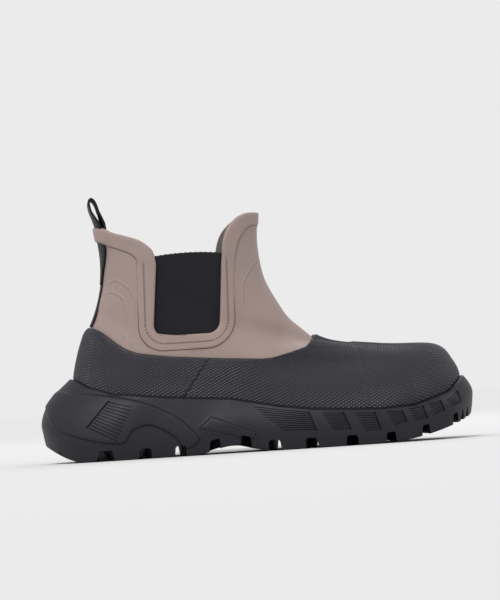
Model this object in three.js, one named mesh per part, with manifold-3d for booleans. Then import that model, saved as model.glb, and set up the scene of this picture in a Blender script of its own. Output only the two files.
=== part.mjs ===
// A right rain boot, ankle high, with elastic side panels, built as its maker joins it: a hollow
// rubber upper, a textured guard round the foot, a lugged outsole, an insole, two elastic panels,
// a pull loop and a back strip. Millimetres, +X to the toe, +Y to the inner side, +Z up.
import * as THREE from "three";
import Module from "manifold-3d";
import { mergeVertices } from "three/addons/utils/BufferGeometryUtils.js";

const wasm = await Module();
wasm.setup();

// The foot: the upper's outside, from heel curve to toe.
const footLength = 256;
const heelOverhang = 26; // how far the sole reaches past the foot at each end
const toeOverhang = 14;
const ballWidth = 96;
const heelWidth = 70;
const toeSwing = 8; // how far the toe's tip lies to the inner side of the heel's line
const instepRise = 72; // from the footbed to the throat

// The footbed under the upper's feather edge, above the floor.
const heelBed = 28;
const ballBed = 15.5;
const toeBedLift = 10.5;

// The shaft and its cut-outs, above the floor.
const collarLength = 112;
const collarWidth = 79;
const frontTabHeight = 161.5;
const backTabHeight = 159;
const panelTopHeight = 134;
const panelCrown = 1.6;
const panelFootHeight = 81;
const panelWidth = 44.5;
const panelLean = 5; // how far the panel's foot lies behind its top
const panelCorner = 8;

// Walls, laps and steps.
const upperWall = 2;
const guardWall = 2;
const capStep = 0.8;
const bandStep = 0.9;
const bandWidth = 8.5;
const frameWidth = 10;
const panelThickness = 1.6;
const panelLap = 5;
const fitGap = 0.3;
const insoleThickness = 3;

// The pull loop and the back strip.
const strapWidth = 26;
const patchWidth = 34;
const strapThickness = 1.6;
const strapFootHeight = 119;
const loopRise = 17;
const loopLean = 4;
const loopBulge = 2;
const strapInnerLength = 16;
const stripWidth = 11;
const stripThickness = 1.2;

// The guard's upper edge.
const guardHeight = 64;
const heelCapReach = 52; // from the sole's rear end
const toeCapReach = 82; // from the sole's toe end

// The outsole.
const soleLength = heelOverhang + footLength + toeOverhang;
const soleWidth = 113;
const heelBevelLength = 27;
const heelBevelRise = 14;
const toeSpringLength = 74;
const toeSpringRise = 17;
const archRise = 5;
const lugDepth = 7;
const bulgeRise = 14;
const wallHeight = 40;
const rimLedge = 3.4;
const soleUndercut = 2;
const waistFlare = 11; // how far the waist's inner wall leans out over the tread
const grooveWidth = 8;
const slotWidth = 5.5;
const ribDepth = 1.1;
const ribGrooveWidth = 1.3;
const stepRelief = 1.1;

// Well outside the boot, for outlines that cut right through it.
const beyond = 2 * soleLength;

// Short runs over which an edge or a step fades.
const capLean = 6; // how far the toe cap's edge leans, over twice the guard's height
const bandFade = 6;
const patchFade = 5;
const strapTaper = 20;

// How finely the curved forms are cut.
const footColumns = 36;
const ringsPerRow = 2;
const soleColumns = 48;
const facetTolerance = 0.04;

const RUBBER_TAUPE = "#8d7a74";
const RUBBER_BLACK = "#1c1c21";
const ELASTIC_BLACK = "#15151b";

// Tables. Angles run round a ring from the heel's back at 0 to the toe at 180 degrees.
const ANGLES = [0, 20, 40, 60, 80, 100, 120, 140, 160, 180];

// The foot's rings: ends as shares of footLength, rises as shares of instepRise, then half-widths,
// of heelWidth at the first three angles and of ballWidth at the others.
const footRows = [
  { back: 0.006, front: 0.99, backRise: 0, frontRise: 0, half: [0.54, 0.89, 0.93, 0.66, 0.85, 0.96, 0.79, 0.44] },
  { back: 0, front: 1.01, backRise: 0.22, frontRise: 0.167, half: [0.56, 0.94, 1, 0.71, 0.91, 1, 0.84, 0.48] },
  { back: 0.002, front: 0.995, backRise: 0.4, frontRise: 0.36, half: [0.52, 0.9, 0.97, 0.71, 0.86, 0.93, 0.8, 0.47] },
  { back: 0.016, front: 0.95, backRise: 0.61, frontRise: 0.55, half: [0.46, 0.82, 0.94, 0.7, 0.7, 0.69, 0.64, 0.44] },
  { back: 0.036, front: 0.81, backRise: 0.805, frontRise: 0.67, half: [0.43, 0.76, 0.91, 0.69, 0.62, 0.51, 0.4, 0.26] },
  { back: 0.057, front: 0.665, backRise: 0.97, frontRise: 0.77, half: [0.42, 0.74, 0.9, 0.69, 0.63, 0.48, 0.32, 0.18] },
  { back: 0.073, front: 0.583, backRise: 1.14, frontRise: 0.98, half: [0.42, 0.74, 0.92, 0.71, 0.69, 0.58, 0.42, 0.23] },
];

// The shaft's rings: ends as shares of collarLength from the collar's back, rises as shares of the
// way from instepRise to the collar, half-widths as shares of half collarWidth.
const shaftRows = [
  { back: 0.03, front: 1.032, backRise: 0.3, frontRise: 0.286, half: [0.38, 0.67, 0.84, 0.93, 0.91, 0.785, 0.57, 0.3] },
  { back: 0.032, front: 0.983, backRise: 0.52, frontRise: 0.61, half: [0.38, 0.67, 0.87, 0.975, 0.96, 0.835, 0.61, 0.32] },
  { back: 0, front: 1, backRise: 0.87, frontRise: 1, half: [0.375, 0.67, 0.885, 1, 0.985, 0.86, 0.62, 0.33] },
];
const frontTabEdge = [[0, -0.2], [0.03, 0.2], [0.12, 0.5], [0.25, 0.7], [0.45, 0.88], [0.7, 0.98], [1, 1]];
const backTabEdge = [[0, -0.2], [0.06, 0.15], [0.145, 0.31], [0.285, 0.48], [0.53, 0.63], [0.725, 0.74], [0.86, 0.87], [1, 1]];
const collarBackShare = 0.07; // the collar's back, behind the heel curve's line, of footLength

// The foot's middle line at each angle, as shares of ballWidth, before the toe's swing.
const middleLine = [0, 0, 0, -0.014, -0.045, -0.052, -0.036, -0.021, 0, 0];

// The sole's plan every 15 degrees from heel to toe: sideways reach as shares of soleWidth.
const solePlan = {
  outer: [0, -0.17, -0.325, -0.413, -0.396, -0.413, -0.448, -0.478, -0.469, -0.407, -0.3, -0.12, 0.08],
  inner: [0, 0.11, 0.235, 0.378, 0.415, 0.262, 0.262, 0.505, 0.53, 0.465, 0.335, 0.195, 0.08],
};

// Heights of the sole's rim along its length, as shares of soleLength and wallHeight.
const rimLine = [
  [0, 1.5], [0.04, 1.5], [0.08, 1.44], [0.12, 1.22], [0.17, 1.09], [0.29, 0.99], [0.43, 0.9], [0.535, 0.73],
  [0.61, 0.65], [0.69, 0.61], [0.76, 0.59], [0.835, 0.63], [0.92, 0.82], [0.96, 1.04], [1, 1.08],
];

// Heights of the guard's upper edge, as shares of soleLength and guardHeight.
const guardLine = [
  [0, 1.42], [0.12, 1.42], [0.15, 1.36], [0.18, 1.21], [0.215, 1.11], [0.29, 1.05], [0.4, 1],
  [0.52, 0.955], [0.583, 1.02], [0.622, 1.07], [0.645, 1.25], [0.66, 1.6], [1, 2.2],
];

// Tread grooves across the sole: places along soleLength at the outer edge, the middle and the
// inner edge, their ends as shares of soleWidth, and their width as a share of grooveWidth.
const crossGrooves = [
  { outer: 0.23, middle: 0.214, inner: 0.197, from: -0.6, to: 0.6, width: 1 },
  { outer: 0.307, middle: 0.304, inner: 0.305, from: -0.6, to: 0.6, width: 0.9 },
  { outer: 0.383, middle: 0.384, inner: 0.386, from: -0.6, to: -0.23, width: 0.85 },
  { outer: 0.396, middle: 0.396, inner: 0.398, from: 0.07, to: 0.6, width: 0.85 },
  { outer: 0.453, middle: 0.455, inner: 0.457, from: -0.6, to: -0.2, width: 0.85 },
  { outer: 0.463, middle: 0.464, inner: 0.467, from: 0.12, to: 0.6, width: 0.85 },
  { outer: 0.512, middle: 0.545, inner: 0.573, from: -0.6, to: 0.6, width: 1 },
  { outer: 0.595, middle: 0.639, inner: 0.664, from: -0.6, to: 0.6, width: 1 },
  { outer: 0.688, middle: 0.719, inner: 0.729, from: -0.6, to: 0.345, width: 0.95 },
  { outer: 0.765, middle: 0.765, inner: 0.766, from: 0.41, to: 0.6, width: 0.25 },
  { outer: 0.788, middle: 0.788, inner: 0.788, from: 0.39, to: 0.6, width: 0.4 },
  { outer: 0.779, middle: 0.787, inner: 0.787, from: -0.6, to: 0.32, width: 0.8 },
  { outer: 0.862, middle: 0.864, inner: 0.858, from: -0.6, to: 0.25, width: 0.65 },
  { outer: 0.94, middle: 0.936, inner: 0.93, from: -0.6, to: 0.19, width: 0.5 },
  { outer: 0.958, middle: 0.956, inner: 0.952, from: -0.22, to: 0.15, width: 0.28 },
  { outer: 0.972, middle: 0.971, inner: 0.968, from: -0.16, to: 0.13, width: 0.28 },
];

// The hollow behind the heel's first lugs, and the pits in the rear lug, in the same shares.
const heelHollow = [
  [0.125, -0.6], [0.122, -0.38], [0.088, -0.27], [0.06, -0.17], [0.056, -0.08], [0.066, 0.01], [0.1, 0.07],
  [0.084, 0.2], [0.062, 0.6], [0.1, 0.6], [0.117, 0.2], [0.135, 0], [0.146, -0.15], [0.155, -0.38], [0.16, -0.6],
];
const rearPits = [[0.052, -0.3], [0.038, -0.25], [0.031, -0.185], [0.031, -0.11], [0.037, -0.04], [0.055, 0.05], [0.075, 0.15]];
const pitWidth = 3;

// Slots along the sole, between lugs: a path of places along soleLength and across soleWidth,
// and their width as a share of slotWidth.
const lengthSlots = [
  { path: [[0.13, -0.165], [0.222, -0.15]], width: 1 },
  { path: [[0.11, 0.135], [0.206, 0.15]], width: 1 },
  { path: [[0.222, -0.15], [0.305, -0.14]], width: 1 },
  { path: [[0.206, 0.15], [0.305, 0.16]], width: 1 },
  { path: [[0.31, -0.12], [0.345, -0.18], [0.383, -0.245]], width: 0.9 },
  { path: [[0.31, 0.17], [0.345, 0.12], [0.396, 0.07]], width: 0.9 },
  { path: [[0.383, -0.245], [0.455, -0.235], [0.522, -0.215]], width: 1 },
  { path: [[0.396, 0.075], [0.463, 0.09]], width: 0.6 },
  { path: [[0.396, 0.13], [0.463, 0.155]], width: 0.6 },
  { path: [[0.463, 0.13], [0.556, 0.185]], width: 0.8 },
  { path: [[0.463, 0.22], [0.566, 0.31]], width: 0.7 },
  { path: [[0.535, -0.24], [0.625, -0.235]], width: 1 },
  { path: [[0.545, -0.065], [0.635, -0.055]], width: 1 },
  { path: [[0.552, 0.13], [0.648, 0.15]], width: 1 },
  { path: [[0.565, 0.325], [0.66, 0.33]], width: 0.7 },
  { path: [[0.62, -0.235], [0.71, -0.235]], width: 1 },
  { path: [[0.635, -0.045], [0.715, -0.045]], width: 1 },
  { path: [[0.65, 0.155], [0.725, 0.15]], width: 1 },
  { path: [[0.66, 0.325], [0.725, 0.33], [0.787, 0.305], [0.86, 0.24], [0.934, 0.185]], width: 0.6 },
  { path: [[0.71, -0.24], [0.785, -0.235]], width: 0.9 },
  { path: [[0.719, -0.06], [0.787, -0.06]], width: 0.9 },
  { path: [[0.725, 0.13], [0.787, 0.12]], width: 0.9 },
  { path: [[0.785, -0.24], [0.863, -0.225]], width: 0.85 },
  { path: [[0.787, -0.07], [0.863, -0.065]], width: 0.85 },
  { path: [[0.787, 0.1], [0.862, 0.085]], width: 0.85 },
  { path: [[0.863, -0.19], [0.936, -0.165]], width: 0.7 },
  { path: [[0.863, -0.045], [0.936, -0.035]], width: 0.7 },
  { path: [[0.863, 0.085], [0.934, 0.06]], width: 0.7 },
];

// Ribbed panels on the sole's side: corners as shares of soleLength and wallHeight, and ribs.
const ribPanels = [
  { topBack: [0.14, 0.87], topFront: [0.2, 0.85], footFront: [0.158, 0.3], footBack: [0.083, 0.48], ribs: 5 },
  { topBack: [0.474, 0.62], topFront: [0.598, 0.56], footFront: [0.612, 0.25], footBack: [0.532, 0.28], ribs: 4 },
  { topBack: [0.628, 0.56], topFront: [0.679, 0.5], footFront: [0.693, 0.2], footBack: [0.652, 0.23], ribs: 3 },
  { topBack: [0.711, 0.5], topFront: [0.75, 0.49], footFront: [0.762, 0.2], footBack: [0.73, 0.22], ribs: 3 },
  { topBack: [0.78, 0.51], topFront: [0.811, 0.51], footFront: [0.824, 0.3], footBack: [0.797, 0.3], ribs: 2 },
  { topBack: [0.835, 0.57], topFront: [0.864, 0.6], footFront: [0.875, 0.43], footBack: [0.851, 0.41], ribs: 2 },
];

// The heel's raised side step: its upper edge from the rear, then its lower edge back to it.
const heelStepTop = [[0.02, 1.2], [0.08, 1.16], [0.15, 1.08], [0.222, 0.95], [0.287, 0.73], [0.325, 0.5], [0.348, 0.27]];
const heelStepFoot = [[0.318, 0.12], [0.295, 0.33], [0.265, 0.48], [0.235, 0.56], [0.2, 0.48], [0.172, 0.28], [0.08, 0.42], [0.02, 0.7]];

// The plain plate on the waist's side.
const sidePlate = [[0.349, 0.45], [0.379, 0.63], [0.478, 0.32], [0.467, 0.2]];

// Small functions.
const lerp = (a, b, s) => a + (b - a) * s;
const clamp = (v, low, high) => Math.min(high, Math.max(low, v));
const ease = (s) => {
  const c = clamp(s, 0, 1);
  return c * c * (3 - 2 * c);
};
const degrees = (a) => (a * Math.PI) / 180;

// A smooth curve through evenly spaced values, at place s counted in values.
function smoothThrough(values, s, before, after) {
  const i = clamp(Math.floor(s), 0, values.length - 2);
  const f = s - i;
  const at = (k) => (k < 0 ? before : k >= values.length ? after : values[k]);
  const [a, b, c, d] = [at(i - 1), at(i), at(i + 1), at(i + 2)];
  return b + 0.5 * f * (c - a + f * (2 * a - 5 * b + 4 * c - d + f * (3 * (b - c) + d - a)));
}

// The height of a line given by points, as shares of two sizes.
function lineHeight(line, x, length, height) {
  const s = x / length;
  const k = clamp(line.findIndex((p) => p[0] > s), 1, line.length - 1);
  const [a, b] = [line[k - 1], line[k]];
  return height * lerp(a[1], b[1], clamp((s - a[0]) / (b[0] - a[0]), 0, 1));
}

// The footbed's height at x: high under the heel, low under the ball, lifted at the toe.
function bedAt(x) {
  const s = x / soleLength;
  const drop = lerp(heelBed, ballBed, ease((s - 0.25) / 0.37));
  return drop + toeBedLift * clamp((s - 0.72) / 0.23, 0, 1.2) ** 2;
}

// The tread's height at x: a bevel at the heel's rear, an arch and a toe spring, flat between.
function groundAt(x) {
  const rear = clamp((heelBevelLength - x) / heelBevelLength, 0, 1.2);
  const toe = clamp((x - soleLength + toeSpringLength) / toeSpringLength, 0, 1.2);
  const arch = Math.sin(Math.PI * clamp((x / soleLength - 0.33) / 0.19, 0, 1)) ** 2;
  return heelBevelRise * rear ** 1.7 + toeSpringRise * toe ** 1.9 + archRise * arch;
}

// The rings' rows in millimetres, foot rows first.
const shaftRise = Math.max(frontTabHeight, backTabHeight) + panelLap - ballBed;
const collarBack = heelOverhang + collarBackShare * footLength;
const rows = [
  ...footRows.map((r) => ({
    back: heelOverhang + r.back * footLength,
    front: heelOverhang + r.front * footLength,
    backRise: r.backRise * instepRise,
    frontRise: r.frontRise * instepRise,
    half: r.half.map((h, k) => (h * (k < 3 ? heelWidth : ballWidth)) / 2),
  })),
  ...shaftRows.map((r) => ({
    back: collarBack + r.back * collarLength,
    front: collarBack + r.front * collarLength,
    backRise: lerp(instepRise, shaftRise, r.backRise),
    frontRise: lerp(instepRise, shaftRise, r.frontRise),
    half: r.half.map((h) => (h * collarWidth) / 2),
  })),
];
const lastRow = rows.length - 1;
const rowCurve = (pick, p) => {
  const values = rows.map(pick);
  const ends = [2 * values[0] - values[1], 2 * values[lastRow] - values[lastRow - 1]];
  return smoothThrough(values, clamp(p, 0, lastRow), ends[0], ends[1]);
};

// A point of the upper's outside: p counts rows from feather edge to collar, turn goes round from
// the heel's back (0) by the outer side to the toe (0.5) and back by the inner side.
function footPoint(p, turn) {
  const t = turn - Math.floor(turn);
  const inner = t > 0.5;
  const angle = (inner ? 1 - t : t) * 360;
  const u = (1 - Math.cos(degrees(angle))) / 2;
  const x = lerp(rowCurve((r) => r.back, p), rowCurve((r) => r.front, p), u);
  const rise = lerp(rowCurve((r) => r.backRise, p), rowCurve((r) => r.frontRise, p), u);
  const halves = [0, ...rows[0].half.map((_, k) => rowCurve((r) => r.half[k], p)), 0];
  const half = smoothThrough(halves, angle / 20, -halves[1], -halves[8]);
  const footness = 1 - ease((p - 3) / 4);
  const middle = ballWidth * smoothThrough(middleLine, angle / 20, 0, 0) + toeSwing * u * u;
  return new THREE.Vector3(x, (inner ? half : -half) + footness * middle, bedAt(x) + rise);
}

// The same point moved out along the surface's normal. At the feather edge it moves level.
function offsetPoint(p, turn, distance) {
  const d = 1e-3;
  const base = footPoint(p, turn);
  const round = footPoint(p, turn + d).sub(footPoint(p, turn - d));
  const low = clamp(p - 10 * d, 0, lastRow);
  const up = footPoint(clamp(p + 10 * d, 0, lastRow), turn).sub(footPoint(low, turn));
  const normal = round.cross(up);
  normal.z *= ease(p / 0.8);
  return base.addScaledVector(normal.normalize(), distance);
}

// Solids. A grid of rings becomes one closed body, its ends closed by strips across it.
function solidOf(positions, triangles) {
  const geometry = new THREE.BufferGeometry();
  geometry.setAttribute("position", new THREE.Float32BufferAttribute(positions.flatMap((v) => [v.x, v.y, v.z]), 3));
  geometry.setIndex(triangles.flat());
  return manifoldOf(geometry);
}

function manifoldOf(geometry) {
  geometry.deleteAttribute("normal");
  geometry.deleteAttribute("uv");
  const merged = mergeVertices(geometry, 1e-4);
  const mesh = new wasm.Mesh({
    numProp: 3,
    vertProperties: merged.attributes.position.array,
    triVerts: new Uint32Array(merged.index.array),
  });
  return new wasm.Manifold(mesh);
}

// Triangles between rings of equal count, ring k at k * count. Rings that run back down inside a
// wall take the other diagonal, so that both faces of the wall are cut alike.
function ringWalls(ringCount, count, downFrom = ringCount) {
  const triangles = [];
  for (let k = 0; k + 1 < ringCount; k++)
    for (let i = 0; i < count; i++) {
      const [a, b] = [k * count + i, k * count + ((i + 1) % count)];
      if (k < downFrom) triangles.push([a, b, b + count], [a, b + count, a + count]);
      else triangles.push([a, b, a + count], [b, b + count, a + count]);
    }
  return triangles;
}

// Strips across a ring from its start to its middle, facing up or down.
function ringCap(first, count, up) {
  const triangles = [];
  const place = (i) => first + (i % count);
  for (let i = 0; i < count / 2; i++) {
    const quad = [place(i), place(i + 1), place(count - i - 1), place(count - i)];
    for (const t of [[quad[0], quad[1], quad[2]], [quad[0], quad[2], quad[3]]])
      if (new Set(t).size === 3) triangles.push(up ? t : [t[0], t[2], t[1]]);
  }
  return triangles;
}

function closedRings(rings) {
  const count = rings[0].length;
  return solidOf(rings.flat(), [
    ...ringWalls(rings.length, count),
    ...ringCap(0, count, false),
    ...ringCap((rings.length - 1) * count, count, true),
  ]);
}

// A wall between two offsets of the foot's surface, open below and above.
function footShell(innerOffset, outerOffset, fromRow = 0, toRow = lastRow) {
  const ringCount = Math.round((toRow - fromRow) * ringsPerRow) + 1;
  const ring = (offset, k) =>
    Array.from({ length: footColumns }, (_, i) => {
      const [p, turn] = [fromRow + k / ringsPerRow, i / footColumns];
      return offsetPoint(p, turn, typeof offset === "function" ? offset(p, turn) : offset);
    });
  const outside = Array.from({ length: ringCount }, (_, k) => ring(outerOffset, k));
  const inside = Array.from({ length: ringCount }, (_, k) => ring(innerOffset, ringCount - 1 - k));
  const positions = [...outside, ...inside].flat();
  const total = 2 * ringCount;
  const triangles = ringWalls(total, footColumns, ringCount);
  for (let i = 0; i < footColumns; i++) {
    const [a, b] = [(total - 1) * footColumns + i, (total - 1) * footColumns + ((i + 1) % footColumns)];
    triangles.push([a, b, (i + 1) % footColumns], [a, (i + 1) % footColumns, i]);
  }
  return solidOf(positions, triangles);
}

// A filled foot form up to a row, for the seat in the sole.
function footForm(offset, toRow) {
  const rings = [];
  for (let k = 0; k <= toRow * ringsPerRow; k++)
    rings.push(Array.from({ length: footColumns }, (_, i) => offsetPoint(k / ringsPerRow, i / footColumns, offset)));
  const floor = rings[0].map((v) => new THREE.Vector3(v.x, v.y, v.z - fitGap));
  return closedRings([floor, ...rings]);
}

// A solid from a side-view outline, [x, z] points, standing across the boot.
function sidePrism(points, fromY = -beyond, toY = beyond) {
  const shape = new THREE.Shape(points.map(([x, z]) => new THREE.Vector2(x, z)));
  const geometry = new THREE.ExtrudeGeometry(shape, { depth: toY - fromY, bevelEnabled: false });
  geometry.rotateX(Math.PI / 2);
  geometry.translate(0, toY, 0);
  return manifoldOf(geometry);
}

// A solid from a plan outline, [x, y] points.
function planPrism(points) {
  const shape = new THREE.Shape(points.map(([x, y]) => new THREE.Vector2(x, y)));
  const geometry = new THREE.ExtrudeGeometry(shape, { depth: 2 * beyond, bevelEnabled: false });
  geometry.translate(0, 0, -beyond);
  return manifoldOf(geometry);
}

// A path widened to both sides into an outline.
function ribbon(path, width) {
  const side = (sign) =>
    path.map(([x, y], i) => {
      const [a, b] = [path[Math.max(0, i - 1)], path[Math.min(path.length - 1, i + 1)]];
      const length = Math.hypot(b[0] - a[0], b[1] - a[1]);
      const shift = (sign * width) / 2 / length;
      return [x - shift * (b[1] - a[1]), y + shift * (b[0] - a[0])];
    });
  return [...side(-1), ...side(1).reverse()];
}

// An arc's points, angles in degrees.
function arc(x, z, radius, from, to, steps = 6) {
  return Array.from({ length: steps + 1 }, (_, k) => {
    const a = degrees(lerp(from, to, k / steps));
    return [x + radius * Math.cos(a), z + radius * Math.sin(a)];
  });
}

// The middle of the elastic panel's top.
const panelMiddle = collarBack + collarLength * 0.545;

// Leans an upright outline back toward its foot, as the panels do.
const leaned = (points) =>
  points.map(([x, z]) => [x + (panelLean * (Math.min(z, panelTopHeight) - panelTopHeight)) / (panelTopHeight - panelFootHeight), z]);

// The elastic panel's outline, grown all round by an amount, and by another at its top.
function panelOutline(grow, topGrow) {
  const half = panelWidth / 2 + grow;
  const radius = panelCorner + grow;
  const [back, front] = [panelMiddle - half, panelMiddle + half];
  const foot = panelFootHeight - grow;
  const top = Array.from({ length: 7 }, (_, k) => {
    const s = k / 6;
    return [lerp(front, back, s), panelTopHeight + topGrow + panelCrown * 4 * s * (1 - s)];
  });
  return leaned([
    ...arc(back + radius, foot + radius, radius, 180, 270),
    ...arc(front - radius, foot + radius, radius, 270, 360),
    ...top,
  ]);
}

// What is cut away over the collar: the space above both tabs and the panel's notch. A drop
// moves the tabs' edges down and back, for the bands below them.
function collarCut(drop) {
  const half = panelWidth / 2;
  const [back, front] = [panelMiddle - half, panelMiddle + half];
  const collarFront = collarBack + collarLength;
  const backTab = backTabEdge.map(([reach, rise]) => [
    lerp(back, collarBack, reach) - drop * (1 - reach), lerp(panelTopHeight, backTabHeight, rise) - drop]);
  const frontTab = frontTabEdge.map(([reach, rise]) => [
    lerp(front, collarFront, reach) + drop * (1 - reach), lerp(panelTopHeight, frontTabHeight, rise) - drop]);
  return sidePrism(leaned([
    [-beyond, beyond],
    [-beyond, backTabHeight - drop],
    ...backTab.reverse(),
    ...arc(back - drop + panelCorner, panelFootHeight + panelCorner, panelCorner, 180, 270),
    ...arc(front + drop - panelCorner, panelFootHeight + panelCorner, panelCorner, 270, 360),
    ...frontTab,
    [beyond, frontTabHeight - drop],
    [beyond, beyond],
  ]));
}

// The turn round a ring at which the heel's back is a distance off the middle line.
function turnAt(p, reach) {
  let [low, high] = [0, 0.25];
  for (let k = 0; k < 30; k++) {
    const middle = (low + high) / 2;
    if (Math.abs(footPoint(p, middle).y) < reach) low = middle;
    else high = middle;
  }
  return low;
}

// The row at which a column of the foot's surface reaches a height line.
function rowAt(turn, heightAt) {
  let [low, high] = [0, lastRow];
  for (let k = 0; k < 30; k++) {
    const middle = (low + high) / 2;
    const point = footPoint(middle, turn);
    if (point.z < heightAt(point.x)) low = middle;
    else high = middle;
  }
  return low;
}

// A strap lying on the heel's back: stations give a centre and a normal for each column.
function strapSolid(stations, thickness) {
  const columns = stations[0].length;
  const side = (sign) =>
    stations.map((s) => s.map((c) => c.point.clone().addScaledVector(c.normal, (sign * thickness) / 2)));
  const loops = stations.map((_, k) => [...side(1)[k], ...side(-1)[k].reverse()]);
  const count = 2 * columns;
  const triangles = ringWalls(loops.length, count);
  for (const [k, up] of [[0, false], [loops.length - 1, true]])
    for (let i = 0; i + 1 < columns; i++) {
      const f = k * count;
      const quad = [f + i, f + i + 1, f + count - i - 2, f + count - i - 1];
      for (const t of [[quad[0], quad[1], quad[2]], [quad[0], quad[2], quad[3]]])
        triangles.push(up ? t : [t[0], t[2], t[1]]);
    }
  const made = solidOf(loops.flat(), triangles);
  return made.volume() > 0 ? made : solidOf(loops.flat(), triangles.map(([a, b, c]) => [a, c, b]));
}

const strapColumns = 7;

// A station on the boot's back at a row, on the outside or the inside.
function backStation(p, halfWidth, offset, outward) {
  return Array.from({ length: strapColumns }, (_, i) => {
    const share = 1 - (2 * i) / (strapColumns - 1);
    const turn = Math.sign(share) * turnAt(p, Math.abs(share) * halfWidth);
    const point = offsetPoint(p, turn, offset);
    const normal = offsetPoint(p, turn, offset + 1).sub(point).multiplyScalar(outward);
    return { point, normal };
  });
}

const backRow = (height) => rowAt(0, () => height);

// Stations of the strap's outer leg, which lies on the upper from its foot to the collar.
function outerLeg(fromHeight, toHeight, width, offset) {
  const steps = 7;
  return Array.from({ length: steps + 1 }, (_, k) => {
    const height = lerp(fromHeight, toHeight, k / steps);
    const flare = ease((backTabHeight - 2 * bandWidth - height) / patchFade);
    const taper = ease((height - strapFootHeight) / strapTaper);
    const full = lerp(width, Math.max(width, patchWidth), flare);
    return backStation(backRow(height), lerp(stripWidth, full, taper) / 2, offset, 1);
  });
}

// The loop above the collar, as places back from and above the tab's edge, and its inner leg.
function pullLoop() {
  const outerOffset = fitGap + strapThickness / 2;
  const innerOffset = -upperWall - fitGap - strapThickness / 2;
  const outer = outerLeg(strapFootHeight, backTabHeight + strapThickness / 2, strapWidth, outerOffset);
  const inner = Array.from({ length: 4 }, (_, k) =>
    backStation(backRow(backTabHeight + strapThickness / 2 - (strapInnerLength * k) / 3), strapWidth / 2, innerOffset, -1));
  const [start, end] = [outer[outer.length - 1], inner[0]];
  const steps = 12;
  const loop = Array.from({ length: steps - 1 }, (_, k) => {
    const s = (k + 1) / steps;
    const rise = loopRise * Math.sin(Math.PI * s) ** 0.8;
    const bulge = loopBulge * Math.sin(2 * Math.PI * s) * 0.5;
    return start.map((c, i) => {
      const base = c.point.clone().lerp(end[i].point, ease(s));
      const middle = (strapColumns - 1) / 2;
      const middleX = lerp(start[middle].point.x, end[middle].point.x, ease(s));
      const flat = lerp(base.x, middleX, Math.min(1, (2 * rise) / loopRise));
      const lean = (loopLean * rise) / loopRise;
      return { point: new THREE.Vector3(flat - lean - bulge, base.y, base.z + rise) };
    });
  });
  loop.forEach((station, k) =>
    station.forEach((c, i) => {
      const before = (k ? loop[k - 1] : start)[i].point;
      const after = (k + 1 < loop.length ? loop[k + 1] : end)[i].point;
      const along = after.clone().sub(before).normalize();
      c.normal = new THREE.Vector3(-along.z, 0, along.x);
    }));
  return strapSolid([...outer, ...loop, ...inner], strapThickness);
}

// The collar band rises over the strap, by the strap's thickness and its gaps.
function bandOffset(p, turn) {
  const reach = Math.abs(footPoint(p, turn).y);
  const atBack = turn < 0.25 || turn > 0.75;
  const lift = strapThickness + 2 * fitGap;
  return bandStep + (atBack ? lift * ease((strapWidth / 2 + bandFade - reach) / patchFade) : 0);
}

// The taupe rubber upper: one hollow wall, with the panels' frames and the collar bands as steps.
function makeUpper() {
  const wall = footShell(-upperWall, 0);
  const frames = footShell(-upperWall / 4, bandStep, 4, lastRow).intersect(sidePrism(panelOutline(frameWidth, shaftRise)));
  const bands = footShell(-upperWall / 4, bandOffset, 6, lastRow).intersect(collarCut(bandWidth));
  const tunnel = strapSolid(
    outerLeg(backTabHeight - 2 * bandWidth, backTabHeight + 2 * strapThickness, strapWidth + 2 * fitGap, strapThickness / 2 + fitGap),
    strapThickness + 2 * fitGap,
  );
  return wall.add(frames).add(bands).subtract(tunnel).subtract(collarCut(0));
}

// The black guard round the foot, with the heel cap and the toe cap as steps in its wall.
function guardCaps(from, to, grow = 0) {
  const heelEnd = heelCapReach + grow;
  const over = 2 * guardHeight;
  const heel = sidePrism([[-beyond, 0], [heelEnd - capLean / 2, 0], [heelEnd + capLean / 2, over], [-beyond, over]]);
  const toeStart = soleLength - toeCapReach - grow;
  const toe = sidePrism([[toeStart + capLean, 0], [beyond, 0], [beyond, over], [toeStart - capLean, over]]);
  const skin = footShell(from, to, 0, 6);
  return skin.intersect(heel).add(skin.intersect(toe));
}

function makeGuard() {
  const wall = footShell(fitGap, fitGap + guardWall, 0, 6);
  const caps = guardCaps(fitGap + guardWall / 2, fitGap + guardWall + capStep);
  const line = Array.from({ length: 60 }, (_, k) => {
    const x = lerp(0, soleLength * 1.1, k / 59);
    return [x, lineHeight(guardLine, x, soleLength, guardHeight)];
  });
  const above = sidePrism([[-beyond, beyond], [-beyond, line[0][1]], ...line, [beyond, line[59][1]], [beyond, beyond]]);
  return wall.add(caps).subtract(above);
}

// The sole's plan outline at a turn, moved in or out, with a share of the waist's flare.
function solePoint(turn, inset, z, flareShare) {
  const inner = turn > 0.5;
  const angle = (inner ? 1 - turn : turn) * 360;
  const at = (a) => {
    const side = inner ? solePlan.inner : solePlan.outer;
    const x = (soleLength * (1 - Math.cos(degrees(a)))) / 2;
    const mirrored = inner ? solePlan.outer : solePlan.inner;
    return new THREE.Vector2(x, soleWidth * smoothThrough(side, a / 15, mirrored[1], mirrored[11]));
  };
  const here = at(angle);
  const along = at(Math.min(180, angle + 1)).sub(at(Math.max(0, angle - 1))).normalize();
  const outward = inner ? new THREE.Vector2(-along.y, along.x) : new THREE.Vector2(along.y, -along.x);
  const waist = Math.sin(Math.PI * clamp((here.x / soleLength - 0.22) / 0.4, 0, 1)) ** 2;
  here.addScaledVector(outward, (inner ? flareShare * waistFlare * waist : 0) - inset);
  return new THREE.Vector3(here.x, here.y, z(here.x));
}

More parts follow.
